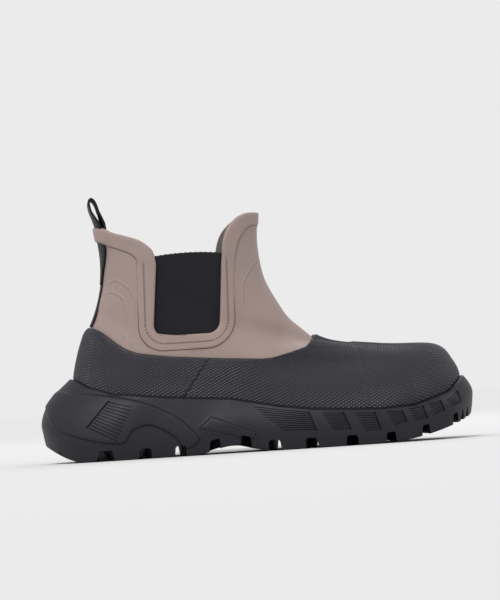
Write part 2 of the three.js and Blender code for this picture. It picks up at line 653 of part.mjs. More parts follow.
// The sole's block: tread edge, lug tops, bulge, and a wall that closes in to the rim.
function soleBlock(inset) {
  const turns = Array.from({ length: soleColumns }, (_, i) => i / soleColumns);
  const level = (undercut, rise, flareShare) =>
    turns.map((t) => solePoint(t, undercut + inset, (x) => groundAt(x) + rise, flareShare));
  const rimOffset = fitGap + guardWall + rimLedge - inset;
  const rim = turns.map((t) => {
    const p = rowAt(t, (x) => lineHeight(rimLine, x, soleLength, wallHeight));
    return offsetPoint(Math.max(p, 0.3), t, rimOffset);
  });
  const bulge = level(0, bulgeRise, 1);
  const wall = [0.35, 0.7].map((s) =>
    bulge.map((b, i) => new THREE.Vector3(
      lerp(b.x, rim[i].x, s ** 1.7), lerp(b.y, rim[i].y, s ** 1.7), lerp(b.z, rim[i].z, s))));
  return closedRings([level(soleUndercut, 0, 0), level(soleUndercut / 3, lugDepth, 0.25), bulge, ...wall, rim]);
}

// The slab under a surface that follows the tread at a depth.
function underTread(depth) {
  const share = (from, to, steps) => Array.from({ length: steps + 1 }, (_, k) => lerp(from, to, k / steps));
  const places = [...share(-0.02, heelBevelLength / soleLength, 6), ...share(0.33, 0.52, 8),
    ...share(1 - toeSpringLength / soleLength, 1.03, 9)];
  const top = places.map((s) => [s * soleLength, groundAt(s * soleLength) + depth]);
  const [rear, toe] = [top[0][1], top[top.length - 1][1]];
  return sidePrism([[-beyond, -beyond], [beyond, -beyond], [beyond, toe], ...top.reverse(), [-beyond, rear]]);
}

function crossGroove(g) {
  const steps = 3;
  const path = Array.from({ length: steps + 1 }, (_, k) => {
    const across = lerp(g.from, g.to, k / steps);
    const s = across / 0.5;
    const share = g.middle + (s * (g.inner - g.outer)) / 2 + s * s * ((g.inner + g.outer) / 2 - g.middle);
    return [share * soleLength, across * soleWidth];
  });
  return planPrism(ribbon(path, grooveWidth * g.width));
}

function lengthSlot(slot) {
  const path = slot.path.map(([s, across]) => [s * soleLength, across * soleWidth]);
  return planPrism(ribbon(path, slotWidth * slot.width));
}

// Level grooves inside one side panel, running from its slanted back edge to its front edge.
function panelRibs(panel) {
  const corner = ([s, h]) => [s * soleLength, h * wallHeight];
  const [topBack, topFront, footFront, footBack] =
    [panel.topBack, panel.topFront, panel.footFront, panel.footBack].map(corner);
  return Array.from({ length: panel.ribs }, (_, k) => {
    const s = (k + 0.5) / panel.ribs;
    const from = [lerp(topBack[0], footBack[0], s), lerp(topBack[1], footBack[1], s)];
    const to = [lerp(topFront[0], footFront[0], s), lerp(topFront[1], footFront[1], s)];
    return sidePrism(ribbon([from, to], ribGrooveWidth));
  });
}

function makeOutsole() {
  const block = soleBlock(0);
  const skin = soleBlock(-2 * stepRelief).subtract(soleBlock(ribDepth));
  const sideOf = (points) => points.map(([s, h]) => [s * soleLength, h * wallHeight]);
  const smooth = (points) => new THREE.SplineCurve(sideOf(points).map(([x, z]) => new THREE.Vector2(x, z)))
    .getPoints(14).map((v) => [v.x, v.y]);
  const step = sidePrism([...smooth(heelStepTop), ...smooth(heelStepFoot)]);
  const plate = sidePrism(sideOf(sidePlate), -beyond, 0);
  const raised = soleBlock(-stepRelief).intersect(step).add(soleBlock(-stepRelief * 0.7).intersect(plate));
  const ribs = ribPanels.flatMap(panelRibs);
  const place = ([s, across]) => [s * soleLength, across * soleWidth];
  const hollow = planPrism(heelHollow.map(place));
  const cross = wasm.Manifold.union([hollow, ...crossGrooves.map(crossGroove)]);
  const along = wasm.Manifold.union(lengthSlots.map(lengthSlot));
  const pits = wasm.Manifold.union(rearPits.map(place).map(([x, y]) =>
    planPrism(ribbon([[x - pitWidth / 2, y], [x + pitWidth / 2, y]], pitWidth))));
  const tread = wasm.Manifold.union([
    cross.intersect(underTread(lugDepth)),
    along.intersect(underTread(lugDepth * 0.85)),
    pits.intersect(underTread(lugDepth * 0.4)),
  ]);
  const seat = footForm(2 * fitGap + guardWall, 5);
  const capSeat = guardCaps(-guardWall / 2, 2 * fitGap + guardWall + capStep, fitGap);
  const cuts = [skin.intersect(wasm.Manifold.union(ribs)), tread, seat, capSeat, capSeat.translate(0, 0, -fitGap)];
  return block.add(raised).subtract(wasm.Manifold.union(cuts));
}

function makeInsole() {
  const ring = (rise) =>
    Array.from({ length: footColumns }, (_, i) => {
      const v = offsetPoint(0, i / footColumns, -upperWall - fitGap);
      return new THREE.Vector3(v.x, v.y, v.z + rise);
    });
  return closedRings([ring(0), ring(insoleThickness)]);
}

// An elastic panel, lapped behind the upper's frame on one side.
function makePanel(side) {
  const [outer, inner] = [-upperWall - fitGap, -upperWall - fitGap - panelThickness];
  const half = sidePrism(panelOutline(panelLap, 0), ...(side < 0 ? [-beyond, -panelLap] : [panelLap, beyond]));
  return footShell(inner, outer, 4, lastRow).intersect(half);
}

// The narrow strip down the back seam, from the strap's foot to the guard's edge.
function makeBackStrip() {
  const foot = guardHeight * guardLine[0][1] + fitGap;
  const steps = 4;
  const stations = Array.from({ length: steps + 1 }, (_, k) =>
    backStation(backRow(lerp(foot, strapFootHeight - fitGap, k / steps)), stripWidth / 2, fitGap + stripThickness / 2, 1));
  return strapSolid(stations, stripThickness);
}

const taupeRubber = new THREE.MeshStandardMaterial({ color: RUBBER_TAUPE, roughness: 0.6, metalness: 0 });
const blackRubber = new THREE.MeshStandardMaterial({ color: RUBBER_BLACK, roughness: 0.55, metalness: 0 });
const blackElastic = new THREE.MeshStandardMaterial({ color: ELASTIC_BLACK, roughness: 0.9, metalness: 0 });

function named(name, solid, material) {
  const mesh = solid.simplify(facetTolerance).getMesh();
  const geometry = new THREE.BufferGeometry();
  geometry.setAttribute("position", new THREE.BufferAttribute(mesh.vertProperties, 3));
  geometry.setIndex(new THREE.BufferAttribute(mesh.triVerts, 1));
  geometry.computeVertexNormals();
  const made = new THREE.Mesh(geometry, material);
  made.name = name;
  return made;
}

const boot = new THREE.Group();
boot.add(
  named("outsole", makeOutsole(), blackRubber),
  named("upper", makeUpper(), taupeRubber),
  named("foot_guard", makeGuard(), blackRubber),
  named("insole", makeInsole(), blackElastic),
  named("elastic_panel_outer", makePanel(-1), blackElastic),
  named("elastic_panel_inner", makePanel(1), blackElastic),
  named("pull_loop", pullLoop(), blackElastic),
  named("back_strip", makeBackStrip(), blackRubber),
);

// The origin is under the middle of the boot, on the floor.
const box = new THREE.Box3().setFromObject(boot);
const centre = box.getCenter(new THREE.Vector3());
boot.children.forEach((mesh) => mesh.position.set(-centre.x, -centre.y, -box.min.z));
const placed = new THREE.Group();
placed.add(boot);

export default placed;
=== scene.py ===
"""The looks of a right rain boot: a hollow rubber upper, a knurled guard, a lugged sole, elastic
side panels, an insole, a pull loop and a back strip, on a pale studio floor.

Lengths are metres, +X to the toe, +Y to the inner side, +Z up. Shapes are worked out from the
sole's rear end, and moved to the frame of the part as they are put into meshes."""

import bpy
import numpy as np
from mathutils import Matrix, Vector


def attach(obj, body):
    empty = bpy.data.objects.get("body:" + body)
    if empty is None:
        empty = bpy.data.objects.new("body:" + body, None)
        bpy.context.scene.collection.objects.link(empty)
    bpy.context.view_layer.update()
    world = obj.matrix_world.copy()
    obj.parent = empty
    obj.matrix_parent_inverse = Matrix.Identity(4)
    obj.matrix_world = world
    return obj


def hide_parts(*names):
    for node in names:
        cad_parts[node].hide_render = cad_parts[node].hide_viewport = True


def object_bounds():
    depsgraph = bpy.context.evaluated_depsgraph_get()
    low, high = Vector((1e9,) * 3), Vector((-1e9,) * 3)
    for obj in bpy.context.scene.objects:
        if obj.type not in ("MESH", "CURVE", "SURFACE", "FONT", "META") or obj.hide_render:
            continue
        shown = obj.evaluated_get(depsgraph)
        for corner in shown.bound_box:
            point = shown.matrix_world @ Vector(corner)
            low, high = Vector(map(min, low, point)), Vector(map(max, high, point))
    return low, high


bl_info = {
    "name": "Rain boot",
    "version": (1, 0, 0),
    "blender": (4, 5, 0),
    "location": "3D View > Sidebar > Rain boot",
    "description": "Builds an ankle-high rain boot with elastic side panels",
    "category": "Object",
}

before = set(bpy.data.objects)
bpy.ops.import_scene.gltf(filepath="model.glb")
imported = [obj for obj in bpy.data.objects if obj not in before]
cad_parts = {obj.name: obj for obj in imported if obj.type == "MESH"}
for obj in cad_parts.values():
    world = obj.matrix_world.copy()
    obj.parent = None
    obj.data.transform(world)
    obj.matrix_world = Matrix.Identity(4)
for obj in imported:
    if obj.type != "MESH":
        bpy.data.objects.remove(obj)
CAD_LOW, CAD_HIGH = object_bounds()

# Angles run round a ring from the heel's back at 0 to the toe at 180 degrees. Each foot row has
# its two ends as shares of foot_length, their rises as shares of instep_rise, and half-widths at
# 20 to 160 degrees, of half heel_width for the first three and of half ball_width for the others.
FOOT_ROWS = (
    (0.006, 0.99, 0, 0, (0.54, 0.89, 0.93, 0.66, 0.85, 0.96, 0.79, 0.44)),
    (0, 1.01, 0.22, 0.167, (0.56, 0.94, 1, 0.71, 0.91, 1, 0.84, 0.48)),
    (0.002, 0.995, 0.4, 0.36, (0.52, 0.9, 0.97, 0.71, 0.86, 0.93, 0.8, 0.47)),
    (0.016, 0.95, 0.61, 0.55, (0.46, 0.82, 0.94, 0.7, 0.7, 0.69, 0.64, 0.44)),
    (0.036, 0.81, 0.805, 0.67, (0.43, 0.76, 0.91, 0.69, 0.62, 0.51, 0.4, 0.26)),
    (0.057, 0.665, 0.97, 0.77, (0.42, 0.74, 0.9, 0.69, 0.63, 0.48, 0.32, 0.18)),
    (0.073, 0.583, 1.14, 0.98, (0.42, 0.74, 0.92, 0.71, 0.69, 0.58, 0.42, 0.23)),
)
# Shaft rows: ends as shares of collar_length, rises as shares of the way from the instep to the
# collar, half-widths as shares of half collar_width.
SHAFT_ROWS = (
    (0.03, 1.032, 0.3, 0.286, (0.38, 0.67, 0.84, 0.93, 0.91, 0.785, 0.57, 0.3)),
    (0.032, 0.983, 0.52, 0.61, (0.38, 0.67, 0.87, 0.975, 0.96, 0.835, 0.61, 0.32)),
    (0, 1, 0.87, 1, (0.375, 0.67, 0.885, 1, 0.985, 0.86, 0.62, 0.33)),
)
# The row that the surface ends at: the last of SHAFT_ROWS, with the first foot row counted as 0.
LAST_ROW = 9
# The collar's back behind the heel curve's rear end, as a share of foot_length.
COLLAR_BACK = 0.07
# The elastic panel's middle from the collar's back, as a share of collar_length.
PANEL_PLACE = 0.545
# The foot's middle line every 20 degrees from heel to toe, as shares of ball_width.
MIDDLE_LINE = (0, 0, 0, -0.014, -0.045, -0.052, -0.036, -0.021, 0, 0)
# Each tab's edge from the panel's top corner to the collar's end: shares of the way along and up.
FRONT_TAB = ((0, -0.2), (0.03, 0.2), (0.12, 0.5), (0.25, 0.7), (0.45, 0.88), (0.7, 0.98), (1, 1))
BACK_TAB = (
    (0, -0.2), (0.06, 0.15), (0.145, 0.31), (0.285, 0.48), (0.53, 0.63), (0.725, 0.74), (0.86, 0.87), (1, 1),
)

# The sole's plan every 15 degrees from heel to toe, as shares of sole_width.
SOLE_OUTER = (0, -0.17, -0.325, -0.413, -0.396, -0.413, -0.448, -0.478, -0.469, -0.407, -0.3, -0.12, 0.08)
SOLE_INNER = (0, 0.11, 0.235, 0.378, 0.415, 0.262, 0.262, 0.505, 0.53, 0.465, 0.335, 0.195, 0.08)
# Stretches of the sole, as shares of its length where they start and that they take: the bed's
# fall from heel to ball, its lift to the toe, the arch, and the waist where the wall leans out.
BED_FALL, BED_LIFT, ARCH, WAIST = (0.25, 0.37), (0.72, 0.23), (0.33, 0.19), (0.22, 0.4)
# The sole's rim: places along it, as shares of its length, and heights, as shares of wall_height.
RIM_LINE = (
    (0, 1.5), (0.04, 1.5), (0.08, 1.44), (0.12, 1.22), (0.17, 1.09), (0.29, 0.99), (0.43, 0.9), (0.535, 0.73),
    (0.61, 0.65), (0.69, 0.61), (0.76, 0.59), (0.835, 0.63), (0.92, 0.82), (0.96, 1.04), (1, 1.08),
)
# The same for the guard's upper edge, as shares of guard_height.
GUARD_LINE = (
    (0, 1.42), (0.12, 1.42), (0.15, 1.36), (0.18, 1.21), (0.215, 1.11), (0.29, 1.05), (0.4, 1),
    (0.52, 0.955), (0.583, 1.02), (0.622, 1.07), (0.645, 1.25), (0.66, 1.6), (1, 2.2),
)
# Grooves across the tread: places along the sole at its outer edge, middle and inner edge, ends
# across it and width as a share of groove_width.
CROSS_GROOVES = (
    (0.23, 0.214, 0.197, -0.6, 0.6, 1),
    (0.307, 0.304, 0.305, -0.6, 0.6, 0.9),
    (0.383, 0.384, 0.386, -0.6, -0.23, 0.85),
    (0.396, 0.396, 0.398, 0.07, 0.6, 0.85),
    (0.453, 0.455, 0.457, -0.6, -0.2, 0.85),
    (0.463, 0.464, 0.467, 0.12, 0.6, 0.85),
    (0.512, 0.545, 0.573, -0.6, 0.6, 1),
    (0.595, 0.639, 0.664, -0.6, 0.6, 1),
    (0.688, 0.719, 0.729, -0.6, 0.345, 0.95),
    (0.765, 0.765, 0.766, 0.41, 0.6, 0.25),
    (0.788, 0.788, 0.788, 0.39, 0.6, 0.4),
    (0.779, 0.787, 0.787, -0.6, 0.32, 0.8),
    (0.862, 0.864, 0.858, -0.6, 0.25, 0.65),
    (0.94, 0.936, 0.93, -0.6, 0.19, 0.5),
    (0.958, 0.956, 0.952, -0.22, 0.15, 0.28),
    (0.972, 0.971, 0.968, -0.16, 0.13, 0.28),
)
# The crescent hollow in the heel: its middle's place along and across the sole, and its width as a
# share of the sole's length.
HEEL_HOLLOW = (
    (0.1425, -0.6, 0.035), (0.1385, -0.38, 0.033), (0.122, -0.27, 0.058), (0.1165, -0.2, 0.063),
    (0.1125, -0.125, 0.063), (0.1145, -0.055, 0.049), (0.1175, 0.02, 0.033), (0.1145, 0.07, 0.029),
    (0.1005, 0.2, 0.033), (0.081, 0.6, 0.038),
)
# Small pits in the rear lug: places along and across the sole.
REAR_PITS = (
    (0.0585, -0.337), (0.0447, -0.287), (0.0369, -0.225), (0.0376, -0.147), (0.0447, -0.063), (0.06, 0.012),
    (0.0156, -0.23),
)
# Notches in the hollow's rear rim: back and front ends along the sole, their place across it, and
# their width as a share of sole_width.
HEEL_NOTCHES = ((0.074, 0.1, -0.272, 0.05), (0.06, 0.095, -0.187, 0.05), (0.063, 0.095, -0.063, 0.05))
# Slots between lugs: width as a share of slot_width, then places along and across the sole.
LENGTH_SLOTS = (
    (1, (0.13, -0.165), (0.222, -0.15)),
    (1, (0.11, 0.135), (0.206, 0.15)),
    (1, (0.222, -0.15), (0.305, -0.14)),
    (1, (0.206, 0.15), (0.305, 0.16)),
    (0.9, (0.31, -0.12), (0.345, -0.18), (0.383, -0.245)),
    (0.9, (0.31, 0.17), (0.345, 0.12), (0.396, 0.07)),
    (1, (0.383, -0.245), (0.455, -0.235), (0.522, -0.215)),
    (0.6, (0.396, 0.075), (0.463, 0.09)),
    (0.6, (0.396, 0.13), (0.463, 0.155)),
    (0.8, (0.463, 0.13), (0.556, 0.185)),
    (0.7, (0.463, 0.22), (0.566, 0.31)),
    (1, (0.535, -0.24), (0.625, -0.235)),
    (1, (0.545, -0.065), (0.635, -0.055)),
    (1, (0.552, 0.13), (0.648, 0.15)),
    (0.7, (0.565, 0.325), (0.66, 0.33)),
    (1, (0.62, -0.235), (0.71, -0.235)),
    (1, (0.635, -0.045), (0.715, -0.045)),
    (1, (0.65, 0.155), (0.725, 0.15)),
    (0.6, (0.66, 0.325), (0.725, 0.33), (0.787, 0.305), (0.86, 0.24), (0.934, 0.185)),
    (0.9, (0.71, -0.24), (0.785, -0.235)),
    (0.9, (0.719, -0.06), (0.787, -0.06)),
    (0.9, (0.725, 0.13), (0.787, 0.12)),
    (0.85, (0.785, -0.24), (0.863, -0.225)),
    (0.85, (0.787, -0.07), (0.863, -0.065)),
    (0.85, (0.787, 0.1), (0.862, 0.085)),
    (0.7, (0.863, -0.19), (0.936, -0.165)),
    (0.7, (0.863, -0.045), (0.936, -0.035)),
    (0.7, (0.863, 0.085), (0.934, 0.06)),
)
# Ribbed fields on the sole's side: top back, top front, foot front and foot back corners in the same
# shares as RIM_LINE, ribs, and whether the deep groove across the ribs is at the field's back.
RIB_FIELDS = (
    ((0.152, 1.0), (0.203, 0.9), (0.161, 0.3), (0.098, 0.57), 11, True),
    ((0.472, 0.77), (0.596, 0.61), (0.611, 0.29), (0.539, 0.31), 10, False),
    ((0.625, 0.59), (0.673, 0.565), (0.688, 0.268), (0.649, 0.268), 9, False),
    ((0.7, 0.555), (0.744, 0.53), (0.756, 0.235), (0.722, 0.215), 8, False),
    ((0.771, 0.54), (0.808, 0.535), (0.817, 0.327), (0.789, 0.285), 7, False),
    ((0.826, 0.565), (0.858, 0.59), (0.866, 0.368), (0.839, 0.33), 6, False),
    ((0.872, 0.63), (0.902, 0.66), (0.91, 0.475), (0.885, 0.41), 6, False),
    ((0.918, 0.66), (0.95, 0.8), (0.955, 0.6), (0.934, 0.53), 5, False),
)
# Outlines in the side view, as shares of the sole's length and of wall_height: the raised step that
# curls round the heel, and the small plate in the middle of the outer side.
HEEL_STEP = (
    (0.02, 1.2), (0.08, 1.16), (0.15, 1.08), (0.222, 0.95), (0.287, 0.73), (0.325, 0.5), (0.348, 0.27),
    (0.318, 0.12), (0.295, 0.33), (0.265, 0.48), (0.235, 0.56), (0.2, 0.48), (0.172, 0.28), (0.08, 0.42),
    (0.02, 0.7),
)
SIDE_PLATE = ((0.349, 0.45), (0.379, 0.63), (0.478, 0.32), (0.467, 0.2))


def length(name, text, default):
    """A length in metres for a property group."""
    return bpy.props.FloatProperty(name=name, description=text, default=default, unit="LENGTH", precision=4)


def colour(name, text, default):
    """A colour, linear, for a property group."""
    return bpy.props.FloatVectorProperty(
        name=name, description=text, default=default, size=3, min=0, max=1, subtype="COLOR")


class BootSizes(bpy.types.PropertyGroup):
    """The boot's sizes"""

    middle_x: length("Middle along", "From the sole's rear end to the part's middle", 0.148)
    middle_y: length("Middle across", "From the heel's line to the part's middle", 0.003249)
    foot_length: length("Foot length", "The upper's outside, heel curve to toe", 0.256)
    heel_overhang: length("Heel overhang", "The sole behind the foot", 0.026)
    toe_overhang: length("Toe overhang", "The sole before the foot", 0.014)
    ball_width: length("Ball width", "The upper across the ball", 0.096)
    heel_width: length("Heel width", "The upper across the heel", 0.070)
    toe_swing: length("Toe swing", "How far the toe's tip lies to the inner side", 0.008)
    instep_rise: length("Instep rise", "Footbed to throat", 0.072)
    heel_bed: length("Heel bed", "Footbed's height under the heel", 0.028)
    ball_bed: length("Ball bed", "Footbed's height under the ball", 0.0155)
    toe_bed_lift: length("Toe bed lift", "Further height of the footbed at the toe", 0.0105)
    collar_length: length("Collar length", "The collar along the boot", 0.112)
    collar_width: length("Collar width", "The collar across the boot", 0.079)
    front_tab_height: length("Front tab height", "Top of the front tab above the floor", 0.1615)
    back_tab_height: length("Back tab height", "Top of the back tab above the floor", 0.159)
    panel_top_height: length("Panel top height", "Elastic panel's top edge above the floor", 0.134)
    panel_crown: length("Panel crown", "Arch of the elastic panel's top edge", 0.0016)
    panel_foot_height: length("Panel foot height", "Elastic panel's foot above the floor", 0.081)
    panel_width: length("Panel width", "Elastic panel along the boot", 0.0445)
    panel_lean: length("Panel lean", "How far the panel's foot lies behind its top", 0.005)
    panel_corner: length("Panel corner", "Radius of the panel's lower corners", 0.008)
    panel_thickness: length("Panel thickness", "Thickness of the elastic", 0.0016)
    panel_lap: length("Panel lap", "How far the elastic runs behind the frame", 0.005)
    upper_wall: length("Upper wall", "Thickness of the upper's rubber", 0.002)
    guard_wall: length("Guard wall", "Thickness of the guard", 0.002)
    cap_step: length("Cap step", "How far the heel and toe caps stand out", 0.0008)
    band_step: length("Band step", "How far bands and frames stand out", 0.0009)
    band_width: length("Band width", "Collar band", 0.0085)
    frame_width: length("Frame width", "Frame round the elastic panel", 0.010)
    fit_gap: length("Fit gap", "Gap between pieces", 0.0003)
    insole_thickness: length("Insole thickness", "Thickness of the insole", 0.003)
    strap_width: length("Strap width", "Pull loop's tape", 0.026)
    patch_width: length("Patch width", "Tape's patch under the collar band", 0.030)
    strap_thickness: length("Strap thickness", "Thickness of the tape", 0.0016)
    strap_foot_height: length("Strap foot height", "Lower end of the tape's patch", 0.119)
    loop_rise: length("Loop rise", "Loop above the collar", 0.017)
    loop_lean: length("Loop lean", "How far the loop leans back", 0.004)
    loop_bulge: length("Loop bulge", "How far the loop's sides part", 0.002)
    strap_inner_length: length("Inner length", "Tape's end inside the collar", 0.016)
    strip_width: length("Strip width", "Back strip", 0.011)
    strip_thickness: length("Strip thickness", "Thickness of the back strip", 0.0012)
    guard_height: length("Guard height", "Guard's edge at the waist above the floor", 0.064)
    heel_cap_reach: length("Heel cap reach", "Heel cap's edge from the sole's rear end", 0.052)
    toe_cap_reach: length("Toe cap reach", "Toe cap's edge from the sole's toe end", 0.082)
    cap_lean: length("Cap lean", "How far the toe cap's edge leans", 0.006)
    sole_width: length("Sole width", "The sole across the ball", 0.113)
    heel_bevel_length: length("Heel bevel length", "The tread's bevel at the rear", 0.027)
    heel_bevel_rise: length("Heel bevel rise", "Height of that bevel", 0.014)
    toe_spring_length: length("Toe spring length", "The tread's rise to the toe", 0.074)
    toe_spring_rise: length("Toe spring rise", "Height of the toe above the floor", 0.017)
    arch_rise: length("Arch rise", "Height of the arch above the floor", 0.005)
    lug_depth: length("Lug depth", "Depth of the grooves across", 0.007)
    bulge_rise: length("Bulge rise", "Height of the wall's widest line", 0.014)
    wall_height: length("Wall height", "Height that the sole's lines are shares of", 0.040)
    rim_ledge: length("Rim ledge", "Width of the rim round the guard", 0.0034)
    sole_undercut: length("Sole undercut", "How far the tread's edge lies in", 0.002)
    waist_flare: length("Waist flare", "How far the waist's inner wall leans out", 0.011)
    groove_width: length("Groove width", "Grooves across the tread", 0.008)
    slot_width: length("Slot width", "Slots along the tread", 0.0055)
    pit_width: length("Pit width", "Pits in the rear lug", 0.0024)
    rib_groove: length("Rib groove", "Width of the grooves between the side's ribs", 0.0005)
    rib_depth: length("Rib depth", "Depth of those grooves", 0.0006)
    step_relief: length("Step relief", "How far the heel's side step stands out", 0.0011)
    edge_round: length("Edge round", "Rounding of the rubber's free edges", 0.0006)
    knurl_width: length("Knurl width", "Width of a diamond of the guard's knurl", 0.0033)
    knurl_rise: length("Knurl rise", "Height of a diamond of the guard's knurl", 0.0019)
    knurl_height: length("Knurl height", "How far the knurl stands out", 0.0005)


class BootFinish(bpy.types.PropertyGroup):
    """The colours of the boot and of the studio"""

    taupe: colour("Taupe", "The upper's rubber", (0.285, 0.211, 0.19))
    black_rubber: colour("Black rubber", "Guard and sole", (0.0096, 0.0093, 0.0155))
    elastic: colour("Elastic", "The side panels", (0.0075, 0.0075, 0.011))
    tape: colour("Tape", "The pull loop", (0.006, 0.006, 0.008))
    lining: colour("Lining", "The cloth inside the upper", (0.16, 0.145, 0.135))
    insole: colour("Insole", "The insole's cloth", (0.06, 0.057, 0.056))
    floor: colour("Floor", "The studio's paper floor", (0.675, 0.675, 0.675))
    sky: colour("Sky", "The studio's even light", (0.83, 0.83, 0.83))


# Small functions.
# Values that stand in for zero in a division.
TINY, TINIEST = 1e-8, 1e-12


def ease(v):
    """A smooth step from 0 to 1, flat at both ends."""
    c = np.clip(v, 0, 1)
    return c * c * (3 - 2 * c)


def mix(a, b, share):
    """The value at a share of the straight way from a to b."""
    return a + (b - a) * share


def cubic(values, share):
    """A share of the way from the second value to the third of four, on the cubic that leaves each
    of the two along the line between its own neighbours."""
    a, b, c, d = values
    return b + 0.5 * share * (
        c - a + share * (2 * a - 5 * b + 4 * c - d + share * (3 * (b - c) + d - a)))


def curve_through(values, place, before, after):
    """A smooth curve through evenly spaced values, at places counted in values, with a further
    value before and after them that only steers the curve's ends."""
    all_values = np.concatenate([np.atleast_1d(before), values, np.atleast_1d(after)])
    i = np.clip(np.floor(place).astype(int), 0, len(values) - 2)
    return cubic([all_values[i + k] for k in range(4)], place - i)


def neighbour_mean(v):
    """The mean of the four values next to each value of a grid."""
    return (np.roll(v, 1, 0) + np.roll(v, -1, 0) + np.roll(v, 1, 1) + np.roll(v, -1, 1)) / 4


def line_height(line, x, along, height):
    """Height at x of a line given in shares of a length and a height."""
    table = np.array(line, float)
    return height * np.interp(x / along, table[:, 0], table[:, 1])


def outline_distance(x, z, outline, closed=True):
    """Distance from side-view points to an outline, below zero inside a closed one, and how far
    along the outline its nearest point lies."""
    shape = x.shape
    points = np.stack([x.ravel(), z.ravel()], 1)
    start = np.array(outline, float)
    end = np.roll(start, -1, axis=0)
    if not closed:
        start, end = start[:-1], end[:-1]
    run = end - start
    long = np.maximum((run**2).sum(1), TINY**2)
    to = points[:, None] - start
    share = np.clip((to * run).sum(2) / long, 0, 1)
    gap = np.linalg.norm(to - share[..., None] * run, axis=2)
    nearest = gap.argmin(1)
    rows = np.arange(len(points))
    lengths = np.sqrt(long)
    along = (np.cumsum(lengths) - lengths)[nearest] + share[rows, nearest] * lengths[nearest]
    distance = gap[rows, nearest]
    if closed:
        crosses = (start[:, 1] > points[:, None, 1]) != (end[:, 1] > points[:, None, 1])
        slope = run[:, 0] / np.where(abs(run[:, 1]) < TINIEST, TINIEST, run[:, 1])
        left = points[:, None, 0] < start[:, 0] + slope * (points[:, None, 1] - start[:, 1])
        inside = (crosses & left).sum(1) % 2 == 1
        distance = np.where(inside, -distance, distance)
    return distance.reshape(shape), along.reshape(shape)


# The boot's forms.
def sole_length(s):
    """The sole from its rear end to its toe end."""
    return s.heel_overhang + s.foot_length + s.toe_overhang


def along_stretch(s, x, stretch):
    """How far x is along a stretch of the sole, from 0 to 1 and on."""
    return (x / sole_length(s) - stretch[0]) / stretch[1]


def bed_at(s, x):
    """The footbed's height: high under the heel, low under the ball, lifted at the toe by the
    square of the way along that stretch."""
    lift = s.toe_bed_lift * np.clip(along_stretch(s, x, BED_LIFT), 0, 1.2) ** 2
    return mix(s.heel_bed, s.ball_bed, ease(along_stretch(s, x, BED_FALL))) + lift


def ground_at(s, x):
    """The tread's height: a bevel at the rear and a toe spring, each a power of the way into it,
    an arch as the square of a sine, and flat between."""
    rear = np.clip((s.heel_bevel_length - x) / s.heel_bevel_length, 0, 1.2)
    toe = np.clip((x - sole_length(s) + s.toe_spring_length) / s.toe_spring_length, 0, 1.2)
    arch = np.sin(np.pi * np.clip(along_stretch(s, x, ARCH), 0, 1)) ** 2
    return s.heel_bevel_rise * rear**1.7 + s.toe_spring_rise * toe**1.9 + s.arch_rise * arch


def foot_table(s):
    """The rings' rows in metres, foot rows first, as columns: back end, front end, back rise,
    front rise, and the eight half-widths."""
    shaft_rise = max(s.front_tab_height, s.back_tab_height) + s.panel_lap - s.ball_bed
    widths = np.array([s.heel_width] * 3 + [s.ball_width] * 5) / 2
    rows = []
    for back, front, back_rise, front_rise, half in FOOT_ROWS:
        ends = [s.heel_overhang + back * s.foot_length, s.heel_overhang + front * s.foot_length]
        rises = [back_rise * s.instep_rise, front_rise * s.instep_rise]
        rows.append([*ends, *rises, *(np.array(half) * widths)])
    for back, front, back_rise, front_rise, half in SHAFT_ROWS:
        ends = [collar_back(s) + back * s.collar_length, collar_back(s) + front * s.collar_length]
        rises = [mix(s.instep_rise, shaft_rise, r) for r in (back_rise, front_rise)]
        rows.append([*ends, *rises, *(np.array(half) * s.collar_width / 2)])
    return np.array(rows)


def foot_point(s, table, p, turn):
    """A point of the upper's outside: p counts rows from the feather edge to the collar, and turn
    goes round from the heel's back by the outer side to the toe at 0.5 and back by the inner side.
    Along the boot it lies between its row's ends by half of one less the turn's cosine, and
    across by a smooth curve through the row's half-widths, with the foot's middle line and the
    toe's swing added, which fade out up the shaft."""
    p, turn = np.broadcast_arrays(np.asarray(p, float), np.asarray(turn, float))
    q = np.clip(p, 0, LAST_ROW)
    i = np.clip(np.floor(q).astype(int), 0, LAST_ROW - 1)
    rows = np.concatenate([2 * table[:1] - table[1:2], table, 2 * table[-1:] - table[-2:-1]])
    row = cubic([rows[i + k] for k in range(4)], (q - i)[..., None])
    t = turn - np.floor(turn)
    inner = t > 0.5
    angle = np.where(inner, 1 - t, t) * 360
    u = (1 - np.cos(np.radians(angle))) / 2
    x = mix(row[..., 0], row[..., 1], u)
    rise = mix(row[..., 2], row[..., 3], u)
    halves = row[..., 4:]
    zero = np.zeros(halves.shape[:-1] + (1,))
    halves = np.concatenate([-halves[..., :1], zero, halves, zero, -halves[..., 7:]], -1)
    place = angle / 20
    j = np.clip(np.floor(place).astype(int), 0, 8)
    near = [np.take_along_axis(halves, (j + k)[..., None], -1)[..., 0] for k in range(4)]
    half = cubic(near, place - j)
    footness = 1 - ease((p - 3) / 4)
    middle = s.ball_width * curve_through(np.array(MIDDLE_LINE, float), place, 0, 0) + s.toe_swing * u * u
    return np.stack([x, np.where(inner, half, -half) + footness * middle, bed_at(s, x) + rise], -1)


def foot_normal(s, table, p, turn):
    """The surface's outward direction: across its two slopes, made level at the feather edge."""
    d = 1e-3
    around = foot_point(s, table, p, turn + d) - foot_point(s, table, p, turn - d)
    low, high = np.clip(p - 10 * d, 0, LAST_ROW), np.clip(p + 10 * d, 0, LAST_ROW)
    normal = np.cross(around, foot_point(s, table, high, turn) - foot_point(s, table, low, turn))
    normal[..., 2] *= ease(np.asarray(p) / 0.8)
    return normal / np.linalg.norm(normal, axis=-1, keepdims=True)


